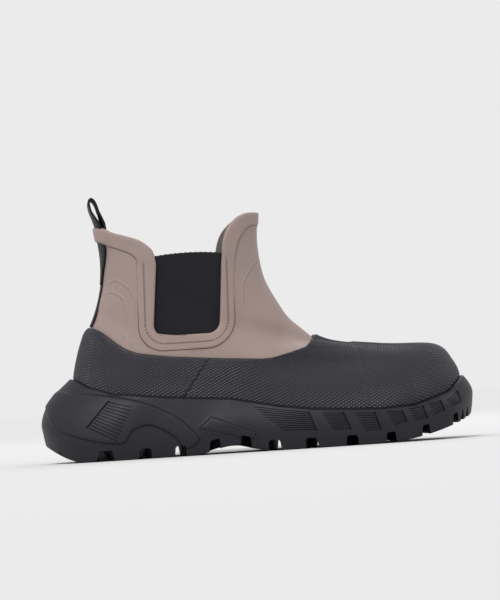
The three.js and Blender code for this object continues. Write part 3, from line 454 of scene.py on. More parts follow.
def offset_point(s, table, p, turn, distance):
    """A point at a distance from the foot's surface, along its outward direction."""
    distance = np.broadcast_to(distance, np.broadcast(p, turn).shape)
    return foot_point(s, table, p, turn) + foot_normal(s, table, p, turn) * distance[..., None]


HALVINGS = 26  # halvings that bring a row or turn to its last digits


def row_at(s, table, turn, height_of):
    """The row at which each column of the surface reaches a height, found by halving."""
    low, high = np.zeros_like(turn), np.full_like(turn, LAST_ROW)
    for _ in range(HALVINGS):
        middle = (low + high) / 2
        point = foot_point(s, table, middle, turn)
        below = point[..., 2] < height_of(point[..., 0])
        low, high = np.where(below, middle, low), np.where(below, high, middle)
    return low


def slide_to(s, table, p, turn, field, target, steps=6):
    """Moves points in the surface, by the shortest way, until field(x, z) has the target value:
    each step is the field's error over its slope along rows and round the ring."""
    p, turn = p.copy(), turn.copy()
    dp, dt = 0.004, 0.0004
    for _ in range(steps):
        here = foot_point(s, table, p, turn)
        above = foot_point(s, table, p + dp, turn)
        beside = foot_point(s, table, p, turn + dt)
        value = field(here[:, 0], here[:, 2])
        slope_p = (field(above[:, 0], above[:, 2]) - value) / dp
        slope_t = (field(beside[:, 0], beside[:, 2]) - value) / dt
        size_p = ((above - here) ** 2).sum(1) / dp**2
        size_t = ((beside - here) ** 2).sum(1) / dt**2
        share = (target - value) / (slope_p**2 / size_p + slope_t**2 / size_t + TINIEST)
        p += np.clip(share * slope_p / size_p, -0.1, 0.1)
        turn += np.clip(share * slope_t / size_t, -0.01, 0.01)
    return p, turn


# Side-view outlines.
def arc(x, z, radius, start, end, steps=10):
    """Points along a circle's arc, from a start to an end in degrees."""
    a = np.radians(np.linspace(start, end, steps + 1))
    return [(x + radius * c, z + radius * d) for c, d in zip(np.cos(a), np.sin(a))]


def collar_back(s):
    """The place of the collar's rear end."""
    return s.heel_overhang + COLLAR_BACK * s.foot_length


def panel_middle(s):
    """The place of the elastic panels' middle, at their top."""
    return collar_back(s) + PANEL_PLACE * s.collar_length


def leaned(s, points):
    """Leans an upright outline back toward its foot, as the panels do."""
    points = np.array(points, float)
    drop = np.minimum(points[:, 1], s.panel_top_height) - s.panel_top_height
    points[:, 0] += s.panel_lean * drop / (s.panel_top_height - s.panel_foot_height)
    return points


def panel_outline(s, grow, rise):
    """The elastic panel's outline, grown by an amount, with its sides run up by another."""
    half, radius = s.panel_width / 2 + grow, s.panel_corner + grow
    back, front = panel_middle(s) - half, panel_middle(s) + half
    foot = s.panel_foot_height - grow
    return leaned(s, [
        *arc(back + radius, foot + radius, radius, 180, 270),
        *arc(front - radius, foot + radius, radius, 270, 360),
        (front, s.panel_top_height + rise),
        (back, s.panel_top_height + rise),
    ])


def rounded(points, steps=6):
    """A smooth curve through points, for the tabs' edges."""
    points = np.array(points, float)
    place = np.linspace(0, len(points) - 1, steps * (len(points) - 1) + 1)
    first, last = 2 * points[0] - points[1], 2 * points[-1] - points[-2]
    return np.stack([curve_through(points[:, k], place, first[k], last[k]) for k in (0, 1)], 1)


def collar_cut(s, drop):
    """What is cut away over the collar: the space above both tabs, lower by the drop, and the
    panel's notch, wider by it. It ends far outside the boot."""
    half = s.panel_width / 2
    back, front = panel_middle(s) - half, panel_middle(s) + half
    ends = (
        (BACK_TAB, back, collar_back(s), s.back_tab_height, -drop),
        (FRONT_TAB, front, collar_back(s) + s.collar_length, s.front_tab_height, drop),
    )
    back_tab, front_tab = (
        [(mix(start, end, reach) + out * (1 - reach), mix(s.panel_top_height, top, rise) - drop)
         for reach, rise in tab]
        for tab, start, end, top, out in ends)
    corner = s.panel_corner
    foot = s.panel_foot_height
    return leaned(s, [
        (-1, 1),
        (-1, s.back_tab_height - drop),
        *rounded(back_tab[::-1]),
        *arc(back - drop + corner, foot + corner, corner, 180, 270),
        *arc(front + drop - corner, foot + corner, corner, 270, 360),
        *rounded(front_tab),
        (1, s.front_tab_height - drop),
        (1, 1),
    ])


# Meshes.
def put_mesh(s, name, points, faces, materials, material_index=None, smooth=True):
    """Makes a mesh object from points in the boot's own lengths and faces of three or four
    corners, moved to the part's frame."""
    mesh = bpy.data.meshes.new(name)
    shifted = np.asarray(points, np.float64) - np.array([s.middle_x, s.middle_y, 0.0])
    faces = [np.asarray(f, np.int32) for f in (faces if isinstance(faces, list) else [faces])]
    counts = np.concatenate([np.full(len(f), f.shape[1], np.int32) for f in faces])
    corners = np.concatenate([f.ravel() for f in faces]).astype(np.int32)
    mesh.vertices.add(len(shifted))
    mesh.vertices.foreach_set("co", shifted.astype(np.float32).ravel())
    mesh.loops.add(len(corners))
    mesh.loops.foreach_set("vertex_index", corners)
    mesh.polygons.add(len(counts))
    mesh.polygons.foreach_set("loop_start", (np.cumsum(counts) - counts).astype(np.int32))
    if material_index is not None:
        mesh.polygons.foreach_set("material_index", np.asarray(material_index, np.int32))
    mesh.update(calc_edges=True)
    mesh.validate()
    mesh.polygons.foreach_set("use_smooth", np.full(len(mesh.polygons), smooth))
    for material in materials:
        mesh.materials.append(material)
    obj = bpy.data.objects.new(name, mesh)
    bpy.context.scene.collection.objects.link(obj)
    return obj


def add_values(obj, name, values):
    """Stores one number a vertex, for the material to read."""
    attribute = obj.data.attributes.new(name, "FLOAT", "POINT")
    attribute.data.foreach_set("value", np.asarray(values, np.float32).ravel())


def add_uv(obj, corners):
    """Stores a place on the cloth for each corner of each face, in metres."""
    layer = obj.data.uv_layers.new(name="UVMap")
    layer.data.foreach_set("uv", np.asarray(corners, np.float32).ravel())


def hand_over(obj, slot, *nodes):
    """The piece stands for its CAD nodes and rides on the boot's one body."""
    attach(obj, "root")
    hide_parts(*nodes)


def closed_wall(s, table, p, turn, keep, outer, inner, push):
    """A wall with two faces and rounded free edges, from a grid of rows and turns. Kept faces
    are doubled at the outer and inner distance, and each free edge gets two rings of points,
    moved out by push and in by the edge's rounding. Returns points, faces, each point's row and
    turn, and how many of the faces are outside, on the edge and inside."""
    rows, columns = p.shape
    index = np.arange(rows * columns).reshape(rows, columns)
    right = np.roll(index, -1, axis=1)
    quads = np.stack([index[:-1], right[:-1], right[1:], index[1:]], -1)[keep]
    used = np.unique(quads)
    renumber = np.full(rows * columns, -1)
    renumber[used] = np.arange(len(used))
    quads = renumber[quads]
    count = len(used)
    p, turn = p.ravel()[used], turn.ravel()[used]
    starts = quads.ravel()
    ends = np.roll(quads, -1, axis=1).ravel()
    free = ~np.isin(starts * count + ends, ends * count + starts)
    a, b = starts[free], ends[free]
    edge = np.unique(a)
    place = np.full(count, -1)
    place[edge] = np.arange(len(edge))
    rim_p, rim_t = push(p[edge], turn[edge])
    points = np.concatenate([
        offset_point(s, table, p, turn, outer(p, turn)),
        offset_point(s, table, rim_p, rim_t, outer(rim_p, rim_t) - s.edge_round),
        offset_point(s, table, rim_p, rim_t, inner(rim_p, rim_t) + s.edge_round),
        offset_point(s, table, p, turn, inner(p, turn)),
    ])
    one, two, back = count + place, count + len(edge) + place, count + 2 * len(edge)
    rim = np.concatenate([
        np.stack([b, a, one[a], one[b]], 1),
        np.stack([one[b], one[a], two[a], two[b]], 1),
        np.stack([two[b], two[a], back + a, back + b], 1),
    ])
    faces = np.concatenate([quads, rim, quads[:, ::-1] + back])
    params = (np.concatenate([p, rim_p, rim_p, p]), np.concatenate([turn, rim_t, rim_t, turn]))
    return points, faces, params, (len(quads), len(rim), len(quads))


def strip_caps(first, count, up):
    """Faces across a ring of count points, each joining both sides at the same step from the
    ring's start: those of four corners, and the triangle at either end."""
    i = np.arange(count // 2)
    quads = first + np.stack([i, i + 1, count - i - 1, count - i], 1) % count
    quads = quads if up else quads[:, ::-1]
    return quads[1:-1], np.array([list(dict.fromkeys(quads[k])) for k in (0, -1)])


def ring_faces(rings, count):
    """Faces between each ring of count points and the next."""
    k, i = np.meshgrid(np.arange(rings - 1), np.arange(count), indexing="ij")
    a = k * count + i
    b = k * count + (i + 1) % count
    return np.stack([a, b, b + count, a + count], -1).reshape(-1, 4)


def capped_faces(rings, count):
    """Faces between rings, and across the first one, facing down, and the last, facing up."""
    bottom, bottom_ends = strip_caps(0, count, False)
    top, top_ends = strip_caps((rings - 1) * count, count, True)
    return [np.concatenate([ring_faces(rings, count), bottom, top]), np.concatenate([bottom_ends, top_ends])]


# Materials.
# Pitches of the fine patterns: the crimped line's waves, the hatch on the lugs, the elastic's ribs
# and the floats between them, the tape's twill across and along, its stitches, the insole's weave.
CRIMP_PITCH = 0.00135
HATCH_PITCH = 0.0029
ELASTIC_RIB_PITCH = 0.00115
ELASTIC_FLOAT_PITCH = 0.0009
TWILL_ACROSS = 0.0011
TWILL_ALONG = 0.0013
STITCH_PITCH = 0.0026
INSOLE_PITCH = 0.0009
# How steeply the hatch slants across the sole.
HATCH_SLANT = 0.9
# The painted shadow brown of the line at a step's foot, and the brown painted as shade in the groove of the
# crimped line in the panel's frame.
STEP_SHADOW_BROWN = (0.1, 0.043, 0.036, 1)
STITCH_SHADE_BROWN = (0.13, 0.068, 0.058, 1)
# The stitches' and the back strip's lines, from the middle.
TAPE_STITCH_PLACE = 0.0105
STRIP_LINE_PLACE = 0.0042


class Tree:
    """A short way to write a material's nodes: each call adds one node and links its inputs."""

    def __init__(self, name):
        self.material = bpy.data.materials.new(name)
        self.material.use_nodes = True
        self.nodes = self.material.node_tree.nodes
        self.links = self.material.node_tree.links
        self.shader = self.nodes["Principled BSDF"]

    def put(self, socket, value):
        """Links a node's output to a socket, or sets a plain value on it."""
        if isinstance(value, bpy.types.NodeSocket):
            self.links.new(value, socket)
        else:
            socket.default_value = value

    def add(self, kind, out=0, **inputs):
        """Any node, by its type, with its inputs by name. Gives its chosen output."""
        node = self.nodes.new(kind)
        for key, value in inputs.items():
            self.put(node.inputs[key.replace("_", " ")], value)
        return node.outputs[out]

    def math(self, operation, a, b=0.0):
        """One sum on one or two numbers."""
        node = self.nodes.new("ShaderNodeMath")
        node.operation = operation
        for k, value in enumerate((a, b)):
            self.put(node.inputs[k], value)
        return node.outputs[0]

    def times(self, a, b):
        """The product of two numbers."""
        return self.math("MULTIPLY", a, b)

    def waves(self, distance, pitch):
        """A wave of straight lines, from 0 up to 0.5 and back once each pitch."""
        return self.math("PINGPONG", self.times(distance, 1 / pitch), 0.5)

    def places(self, vector):
        """The first two numbers of a place."""
        node = self.nodes.new("ShaderNodeSeparateXYZ")
        self.links.new(vector, node.inputs[0])
        return node.outputs[0], node.outputs[1]

    def cloth_places(self):
        """The place on the cloth, across it and along it, in metres."""
        node = self.nodes.new("ShaderNodeUVMap")
        node.uv_map = "UVMap"
        return self.places(node.outputs[0])

    def value(self, name):
        """A number stored at the mesh's vertices."""
        node = self.nodes.new("ShaderNodeAttribute")
        node.attribute_name = name
        return node.outputs["Fac"]

    def step(self, value, low, high):
        """A smooth step from 0 at low to 1 at high."""
        node = self.nodes.new("ShaderNodeMapRange")
        node.interpolation_type = "SMOOTHSTEP"
        self.put(node.inputs["Value"], value)
        node.inputs["From Min"].default_value = low
        node.inputs["From Max"].default_value = high
        return node.outputs["Result"]

    def ridge(self, distance, width):
        """1 on a line and 0 past width from it."""
        return self.math("SUBTRACT", 1.0, self.step(self.math("ABSOLUTE", distance), 0.0, width))

    def noise(self, scale, detail=2.0):
        """Cloudy noise of 0 to 1, with scale clouds a metre."""
        place = self.add("ShaderNodeTexCoord", "Object")
        return self.add("ShaderNodeTexNoise", "Fac", Vector=place, Scale=scale, Detail=detail)

    def mix_colour(self, share, a, b):
        """A colour at a share of the way from a to b."""
        node = self.nodes.new("ShaderNodeMix")
        node.data_type = "RGBA"
        self.put(node.inputs[0], share)
        self.put(node.inputs[6], a)
        self.put(node.inputs[7], b)
        return node.outputs[2]

    def bump(self, height, metres, before=None):
        """Raises the surface by a height of 0 to 1, in metres."""
        node = self.nodes.new("ShaderNodeBump")
        node.inputs["Strength"].default_value = 1.0
        node.inputs["Distance"].default_value = metres
        self.put(node.inputs["Height"], height)
        if before is not None:
            self.put(node.inputs["Normal"], before)
        return node.outputs[0]

    def finish(self, colour, roughness, normal=None, **uniform):
        """Fills the shader, with its uniform values straight on its sockets. Gives the material."""
        self.put(self.shader.inputs["Base Color"], colour)
        self.put(self.shader.inputs["Roughness"], roughness)
        if normal is not None:
            self.put(self.shader.inputs["Normal"], normal)
        for key, value in uniform.items():
            self.shader.inputs[key.replace("_", " ")].default_value = value
        return self.material


def shade(colour, factor):
    """A colour made lighter or darker by a factor, for a material's socket."""
    return (*(min(1.0, c * factor) for c in colour), 1.0)


def taupe_material(finish):
    """Satin rubber: mottled, with a brown line painted as shadow at each step's foot, a crimped line in the
    panel's frame painted darker brown as shade in its groove, and low moulded arches painted lighter as a
    highlight."""
    t = Tree("taupe_rubber")
    line, fade = t.value("line"), t.value("fade")
    lip = t.times(t.step(line, 0.00035, -0.00035), fade)
    # Painted shadow: a dark brown line just below each raised step's edge.
    dark = t.times(t.ridge(t.math("SUBTRACT", line, 0.0001), 0.0006), fade)
    stitch = t.times(t.ridge(t.value("stitch"), 0.0007), t.value("stitch_fade"))
    crimp = t.math("SINE", t.times(t.value("along"), 2 * np.pi / CRIMP_PITCH))
    crimped = t.times(t.ridge(t.value("stitch"), 0.0011), t.value("stitch_fade"))
    crimped = t.times(crimped, crimp)
    arch = t.ridge(t.value("arch"), 0.0012)
    broad = t.noise(38, 3)
    grain = t.noise(900, 2)
    tone = t.mix_colour(broad, shade(finish.taupe, 0.94), shade(finish.taupe, 1.07))
    # Painted highlight: the taupe made lighter along the moulded arches.
    tone = t.mix_colour(t.times(arch, 0.35), tone, shade(finish.taupe, 1.22))
    # Paints the brown shadow line at each step's foot.
    tone = t.mix_colour(t.times(dark, 0.8), tone, STEP_SHADOW_BROWN)
    # Painted shade: the crimped line's groove darkened brown.
    tone = t.mix_colour(t.times(stitch, 0.4), tone, STITCH_SHADE_BROWN)
    normal = t.bump(grain, 0.00003)
    normal = t.bump(broad, 0.0005, normal)
    normal = t.bump(lip, 0.0006, normal)
    normal = t.bump(t.math("SUBTRACT", 1.0, stitch), 0.00025, normal)
    normal = t.bump(crimped, 0.00034, normal)
    normal = t.bump(arch, 0.00045, normal)
    rough = t.math("ADD", 0.47, t.times(t.noise(120, 4), 0.14))
    return t.finish(tone, rough, normal, Specular_IOR_Level=0.42, Coat_Weight=0.06, Coat_Roughness=0.35)


def lining_material(finish):
    """A fine knitted cloth, bonded inside the rubber."""
    t = Tree("upper_lining")
    place = t.add("ShaderNodeTexCoord", "Object")
    weave = t.add("ShaderNodeTexVoronoi", "Distance", Vector=place, Scale=900.0)
    tone = t.mix_colour(weave, shade(finish.lining, 0.75), shade(finish.lining, 1.2))
    tone = t.mix_colour(t.noise(30, 3), tone, shade(finish.lining, 0.85))
    normal = t.bump(weave, 0.0003)
    return t.finish(tone, 0.92, normal, Sheen_Weight=0.25, Sheen_Roughness=0.5, Specular_IOR_Level=0.2)


def guard_material(finish):
    """Plain black rubber under and between the knurl, with the slanted overlap's lip and the dark
    line painted beside it as the lip's shadow."""
    t = Tree("guard_rubber")
    seam = t.value("seam")
    lap = t.step(seam, 0.0004, -0.0004)
    # Painted shadow: a dark line beside the overlap's lip, mixed into the tone below.
    gap = t.ridge(t.math("SUBTRACT", seam, SEAM_SHADOW), 0.0008)
    tone = t.mix_colour(t.noise(24, 3), shade(finish.black_rubber, 0.7), shade(finish.black_rubber, 1.1))
    tone = t.mix_colour(t.times(gap, 0.8), tone, shade(finish.black_rubber, 0.2))
    normal = t.bump(t.noise(700, 2), 0.00004)
    normal = t.bump(lap, 0.0006, normal)
    rough = t.math("ADD", 0.46, t.times(t.noise(150, 3), 0.14))
    return t.finish(tone, rough, normal, Specular_IOR_Level=0.4)


def knurl_material(finish):
    """The knurl's black rubber: matt and painted darker as shade in its valleys, painted lighter as a
    highlight toward its tips, with brighter and smoother patches there.
    """
    t = Tree("knurled_rubber")
    tip = t.value("tip")
    # Painted highlight: patches at the tips made brighter, and smoother.
    glint_and_polish = t.times(t.step(tip, 0.35, 1.0), t.step(t.noise(60, 3), 0.3, 0.7))
    # Painted shade in the valleys, painted highlight toward the tips.
    tone = t.mix_colour(tip, shade(finish.black_rubber, 0.5), shade(finish.black_rubber, 2.5))
    tone = t.mix_colour(t.times(glint_and_polish, 0.5), tone, shade(finish.black_rubber, 3.0))
    normal = t.bump(t.noise(900, 2), 0.00003)
    rough = t.math("SUBTRACT", 0.5, t.times(glint_and_polish, 0.16))
    return t.finish(tone, rough, normal, Specular_IOR_Level=0.55)


def sole_material(finish):
    """Black satin rubber: painted dark as shade in the grooves of its ribbed side fields, with a lip and a
    fine line painted as shadow at the heel's step, a groove round the side plate painted as shade, and a
    slanting hatch on the lugs' faces, its lines painted lighter as a highlight."""
    t = Tree("sole_rubber")
    lip = t.step(t.value("step"), 0.0004, -0.0004)
    step_shadow_line = t.ridge(t.math("SUBTRACT", t.value("step"), 0.0002), 0.0005)
    plate_groove_shade = t.ridge(t.value("plate"), 0.0006)
    x, y = t.places(t.add("ShaderNodeTexCoord", "Object"))
    hatch = t.waves(t.math("ADD", x, t.times(y, HATCH_SLANT)), HATCH_PITCH)
    hatch = t.times(t.step(hatch, 0.1, 0.4), t.value("hatch"))
    broad = t.noise(26, 3)
    tone = t.mix_colour(broad, shade(finish.black_rubber, 0.88), shade(finish.black_rubber, 1.12))
    # Painted shade: the grooves of the ribbed fields darkened as if in shadow.
    tone = t.mix_colour(t.times(t.value("groove_shade"), 0.9), tone, shade(finish.black_rubber, 0.12))
    # Painted shadow: a fine dark line at the foot of the heel's step.
    tone = t.mix_colour(t.times(step_shadow_line, 0.3), tone, shade(finish.black_rubber, 0.35))
    # Painted shade: the groove round the side plate darkened.
    tone = t.mix_colour(t.times(plate_groove_shade, 0.4), tone, shade(finish.black_rubber, 0.25))
    # Painted highlight: the hatch's lines on the lugs' faces made lighter.
    tone = t.mix_colour(t.times(hatch, 0.45), tone, shade(finish.black_rubber, 1.7))
    normal = t.bump(t.noise(800, 2), 0.00003)
    normal = t.bump(broad, 0.0004, normal)
    normal = t.bump(lip, 0.0008, normal)
    normal = t.bump(t.math("SUBTRACT", 1.0, plate_groove_shade), 0.0004, normal)
    normal = t.bump(hatch, 0.0004, normal)
    rough = t.math("ADD", 0.46, t.times(t.noise(90, 4), 0.16))
    return t.finish(tone, rough, normal, Specular_IOR_Level=0.33)


def elastic_material(finish):
    """Woven elastic: fine upright ribs, with short cross floats between them and a little fluff."""
    t = Tree("ribbed_elastic")
    u, v = t.cloth_places()
    rib = t.step(t.waves(u, ELASTIC_RIB_PITCH), 0.05, 0.42)
    cross = t.times(t.step(t.waves(v, ELASTIC_FLOAT_PITCH), 0.1, 0.4), 0.5)
    yarn = t.math("ADD", t.times(rib, 0.8), t.times(cross, t.math("SUBTRACT", 1.0, rib)))
    fleck = t.step(t.noise(1500, 2), 0.66, 0.76)
    tone = t.mix_colour(yarn, shade(finish.elastic, 0.45), shade(finish.elastic, 1.7))
    tone = t.mix_colour(t.times(fleck, 0.25), tone, shade(finish.elastic, 6.0))
    normal = t.bump(t.noise(1400, 3), 0.00012)
    normal = t.bump(yarn, 0.0003, normal)
    return t.finish(tone, 0.86, normal, Sheen_Weight=0.18, Sheen_Roughness=0.45, Specular_IOR_Level=0.25)


def tape_material(finish):
    """Woven tape with a faint gloss: tight diagonal twill with stitched edges."""
    t = Tree("loop_tape")
    u, v = t.cloth_places()
    slant = t.math("ADD", t.times(u, 1 / TWILL_ACROSS), t.times(v, 1 / TWILL_ALONG))
    twill = t.step(t.waves(slant, 1.0), 0.05, 0.45)
    edge = t.ridge(t.math("SUBTRACT", t.math("ABSOLUTE", u), TAPE_STITCH_PLACE), 0.0006)
    dash = t.step(t.waves(v, STITCH_PITCH), 0.1, 0.2)
    thread = t.times(edge, dash)
    tone = t.mix_colour(twill, shade(finish.tape, 0.6), shade(finish.tape, 1.8))
    tone = t.mix_colour(thread, tone, shade(finish.tape, 3.5))
    normal = t.bump(twill, 0.00016)
    normal = t.bump(thread, 0.00035, normal)
    rough = t.math("ADD", 0.38, t.times(t.noise(160, 3), 0.16))
    return t.finish(tone, rough, normal, Specular_IOR_Level=0.16)


def insole_material(finish):
    """A flat woven cloth over foam, with darker clouds in it."""
    t = Tree("insole_cloth")
    x, y = t.places(t.add("ShaderNodeTexCoord", "Object"))
    weave = t.math("ADD", t.waves(x, INSOLE_PITCH), t.waves(y, INSOLE_PITCH))
    tone = t.mix_colour(weave, shade(finish.insole, 0.7), shade(finish.insole, 1.5))
    tone = t.mix_colour(t.times(t.noise(22, 3), 0.5), tone, shade(finish.insole, 0.7))
    return t.finish(tone, 0.9, t.bump(weave, 0.0002), Sheen_Weight=0.2, Specular_IOR_Level=0.2)


def strip_material(finish):
    """Smooth black rubber with one fine line down each edge."""
    t = Tree("strip_rubber")
    broad = t.noise(60, 3)
    tone = t.mix_colour(broad, shade(finish.black_rubber, 0.8), shade(finish.black_rubber, 1.2))
    normal = t.bump(t.noise(800, 2), 0.00004)
    edge = t.ridge(t.math("SUBTRACT", t.math("ABSOLUTE", t.value("across")), STRIP_LINE_PLACE), 0.0004)
    normal = t.bump(t.math("SUBTRACT", 1.0, edge), 0.0003, normal)
    rough = t.math("ADD", 0.44, t.times(broad, 0.15))
    return t.finish(tone, rough, normal, Specular_IOR_Level=0.3)


# The upper.
# Its grid: points round the foot, the row above which it is fine, the rows up to there and above,
# and the row from which it can reach the collar.
UPPER_COLUMNS = 290
FINE_FROM, COARSE_ROWS, FINE_ROWS = 3.2, 10, 104
COLLAR_FROM = 4
# How far a raised edge is spread over the surface.
STEP_SPREAD = 0.0016
# The crimped line's place, out from the panel's edge.
CRIMP_PLACE = 0.0054
# The heights between which the line beside the panel is faint, and how far it takes to get so.
FAINT_FROM, FAINT_IN, FAINT_TO, FAINT_OUT = 0.094, 0.014, 0.137, 0.012
# Low moulded arches, two on the quarters and one on the instep, as lines in the side view, painted lighter as
# a highlight.
ARCHES = (
    ((0.0495, 0.1190), (0.0524, 0.1205), (0.0560, 0.1206), (0.0605, 0.1175), (0.0645, 0.1132),
     (0.0664, 0.1070), (0.0662, 0.0990), (0.0645, 0.0880), (0.0628, 0.0773), (0.0615, 0.0680)),
    ((0.0485, 0.1125), (0.0508, 0.1133), (0.0538, 0.1127), (0.0575, 0.1100), (0.0600, 0.1065),
     (0.0612, 0.1012), (0.0605, 0.0935), (0.0575, 0.0805), (0.0550, 0.0700)),
    ((0.1397, 0.1000), (0.1395, 0.1060), (0.1400, 0.1105), (0.1418, 0.1160), (0.1452, 0.1215),
     (0.1492, 0.1262), (0.1535, 0.1300), (0.1600, 0.1340)),
)
# Soft troughs (below zero) and ridges where the boot bends: a line in the side view, its depth in
# metres and its half-width.
CREASES = (
    (((0.1740, 0.1000), (0.1700, 0.0860), (0.1640, 0.0740), (0.1600, 0.0640)), -0.0006, 0.006),
    (((0.1860, 0.0900), (0.1810, 0.0780), (0.1760, 0.0680)), 0.0004, 0.006),
    (((0.1960, 0.0850), (0.1910, 0.0740), (0.1880, 0.0660)), -0.0004, 0.006),
    (((0.0400, 0.0960), (0.0520, 0.0930), (0.0620, 0.0900)), -0.0005, 0.007),
    (((0.0400, 0.1080), (0.0520, 0.1050)), 0.0003, 0.006),
    (((0.1580, 0.1180), (0.1450, 0.1020), (0.1330, 0.0900)), -0.0004, 0.008),
)


# How far an outline's sides run up, past the collar, and how much further off the collar band
# counts below the shaft, where it mustn't be met.
RUN_UP, BAND_AWAY = 0.1, 0.02


def upper_fields(s, x, z, p):
    """Distances that the upper's steps and lines follow: to the raised frame, to the collar band,
    to the panel's edge, along that edge, and to the nearest arch."""
    frame_gap, _ = outline_distance(x, z, panel_outline(s, s.frame_width, RUN_UP))
    band_gap, _ = outline_distance(x, z, collar_cut(s, s.band_width))
    band_gap = band_gap + BAND_AWAY * (1 - ease((p - 6) / 0.4))
    panel_gap, along = outline_distance(x, z, panel_outline(s, 0, RUN_UP))
    arch = np.min([outline_distance(x, z, a, closed=False)[0] for a in ARCHES], axis=0)
    return frame_gap, band_gap, panel_gap, along, arch


def upper_lift(s, table, p, turn):
    """How far the outer face stands out: one step over the frame and the collar band, a further
    one where the band passes over the strap, and the soft creases."""
    point = foot_point(s, table, p, turn)
    x, z = point[..., 0], point[..., 2]
    frame_gap, band_gap, _, _, _ = upper_fields(s, x, z, p)
    on_frame, on_band = (ease(0.5 - gap / STEP_SPREAD) for gap in (frame_gap, band_gap))
    t = turn - np.floor(turn)
    at_back = (t < 0.25) | (t > 0.75)
    reach = abs(point[..., 1])
    strap = ease((s.strap_width / 2 + 0.005 - reach) / 0.004) * at_back * on_band
    lift = s.band_step * np.maximum(on_frame, on_band)
    lift = lift + (s.strap_thickness + 2 * s.fit_gap) * strap
    for line, depth, width in CREASES:
        gap, _ = outline_distance(x, z, line, closed=False)
        lift = lift + depth * np.exp(-((gap / width) ** 2)) * ease((frame_gap - 0.001) / 0.006)
    return lift


def trimmed_grid(s, table, collar_gap):
    """Rows and turns of the upper's grid, and which faces stay, those under the collar's outline.
    The free edge is slid onto the outline, and the points near it are evened out by taking the
    mean of their neighbours a few times."""
    coarse = np.linspace(0, FINE_FROM, COARSE_ROWS)[:-1]
    rows = np.concatenate([coarse, np.linspace(FINE_FROM, LAST_ROW, FINE_ROWS)])
    turns = np.arange(UPPER_COLUMNS) / UPPER_COLUMNS
    p, turn = (g.copy() for g in np.meshgrid(rows, turns, indexing="ij"))
    point = foot_point(s, table, p, turn)
    gap = np.ones_like(p)
    high = rows > COLLAR_FROM
    gap[high] = collar_gap(point[high][..., 0], point[high][..., 2])
    beside = np.roll(gap, -1, axis=1)
    keep = (gap[:-1] + beside[:-1] + gap[1:] + beside[1:]) / 4 > s.edge_round
    around = np.zeros_like(p, int)
    for down in (0, 1):
        for left in (0, 1):
            around[down : len(rows) - 1 + down] += np.roll(keep, left, axis=1)
    rim = (around > 0) & (around < 4)
    rim[0] = rim[-1] = False
    p[rim], turn[rim] = slide_to(s, table, p[rim], turn[rim], collar_gap, s.edge_round)
    near = rim.copy()
    for _ in range(2):
        near = near | np.roll(near, 1, 0) | np.roll(near, -1, 0) | np.roll(near, 1, 1) | np.roll(near, -1, 1)
    near &= ~rim & (around == 4)
    near[0] = near[-1] = False
    base = np.broadcast_to(turns, turn.shape)
    shift = turn - base
    for _ in range(3):
        p, shift = (np.where(near, neighbour_mean(v), v) for v in (p, shift))
    return p, base + shift, keep


def build_upper(s, finish):
    """The outer face is a grid of turns and rows, trimmed along the collar and the notches, and
    closed into a wall: rubber outside and on its edges, lining inside."""
    table = foot_table(s)
    cut = collar_cut(s, 0)

    def collar_gap(x, z):
        return outline_distance(x, z, cut)[0]

    def push(edge_p, edge_t):
        free = edge_p > 1
        new_p, new_t = edge_p.copy(), edge_t.copy()
        new_p[free], new_t[free] = slide_to(s, table, edge_p[free], edge_t[free], collar_gap, 0.0)
        return new_p, new_t

    def outer(q, t):
        return upper_lift(s, table, q, t)

    def inner(q, t):
        return np.full_like(q, -s.upper_wall)

    p, turn, keep = trimmed_grid(s, table, collar_gap)
    points, faces, (q, t), counts = closed_wall(s, table, p, turn, keep, outer, inner, push)
    materials = [taupe_material(finish), lining_material(finish)]
    obj = put_mesh(s, "upper_shell", points, faces, materials, np.repeat([0, 0, 1], counts))
    on = foot_point(s, table, q, t)
    frame_gap, band_gap, panel_gap, along, arch = upper_fields(s, on[:, 0], on[:, 2], q)
    side = ease((s.frame_width * 2 - abs(on[:, 0] - panel_middle(s)) + s.panel_width / 2) / 0.004)
    height = on[:, 2]
    faint = side * ease((height - FAINT_FROM) / FAINT_IN) * ease((FAINT_TO - height) / FAINT_OUT)
    # Distances and fades for the raised steps and the brown shadow line painted at their foot, the crimped
    # line and its painted shade, and the arches with their painted highlight.
    add_values(obj, "line", np.minimum(frame_gap, band_gap))
    add_values(obj, "fade", 1 - 0.8 * faint)
    add_values(obj, "stitch", panel_gap - CRIMP_PLACE)
    add_values(obj, "stitch_fade", ease((s.panel_top_height - 0.001 - height) / 0.004))
    add_values(obj, "along", along)
    add_values(obj, "arch", arch)
    hand_over(obj, "taupe_rubber", "upper")


# The guard.
# Its grid: points round the foot, rows up it, and the foot's row that it starts at.
GUARD_COLUMNS, GUARD_ROWS, GUARD_FOOT = 300, 44, 0.25
# How far the step at a cap's edge is spread.
CAP_EDGE = 0.0035
# The slanted seam on the outer side: its place along the boot at guard_height, how far it goes
# forward with its height, and its shadow's middle from its line.
SEAM_PLACE, SEAM_SLANT, SEAM_SHADOW = 0.1135, 0.75, 0.0004
# How far below its upper edge the guard is feathered, and by what share of its thickness.
FEATHER_HEIGHT, FEATHER_SHARE = 0.006, 0.4
# The knurl's lattice: the foot's row that it is counted along, in how many steps, and the levels
# up the whole foot that its height is read from.
KNURL_RING, RING_STEPS, RISE_LEVELS = 2.5, 2000, 180
# The knurl's foot under the guard's face, its start over the sole's rim, and the plain way left
# below the guard's edge and to either side of the seam's shadow.
KNURL_SINK, KNURL_START, KNURL_TOP_GAP, KNURL_SEAM_GAP = 0.00006, 0.0004, 0.0006, 0.0012


def guard_seam(s, x, z):
    """How far a point lies before the slanted seam on the outer side."""
    return x - (SEAM_PLACE + SEAM_SLANT * (z - s.guard_height))


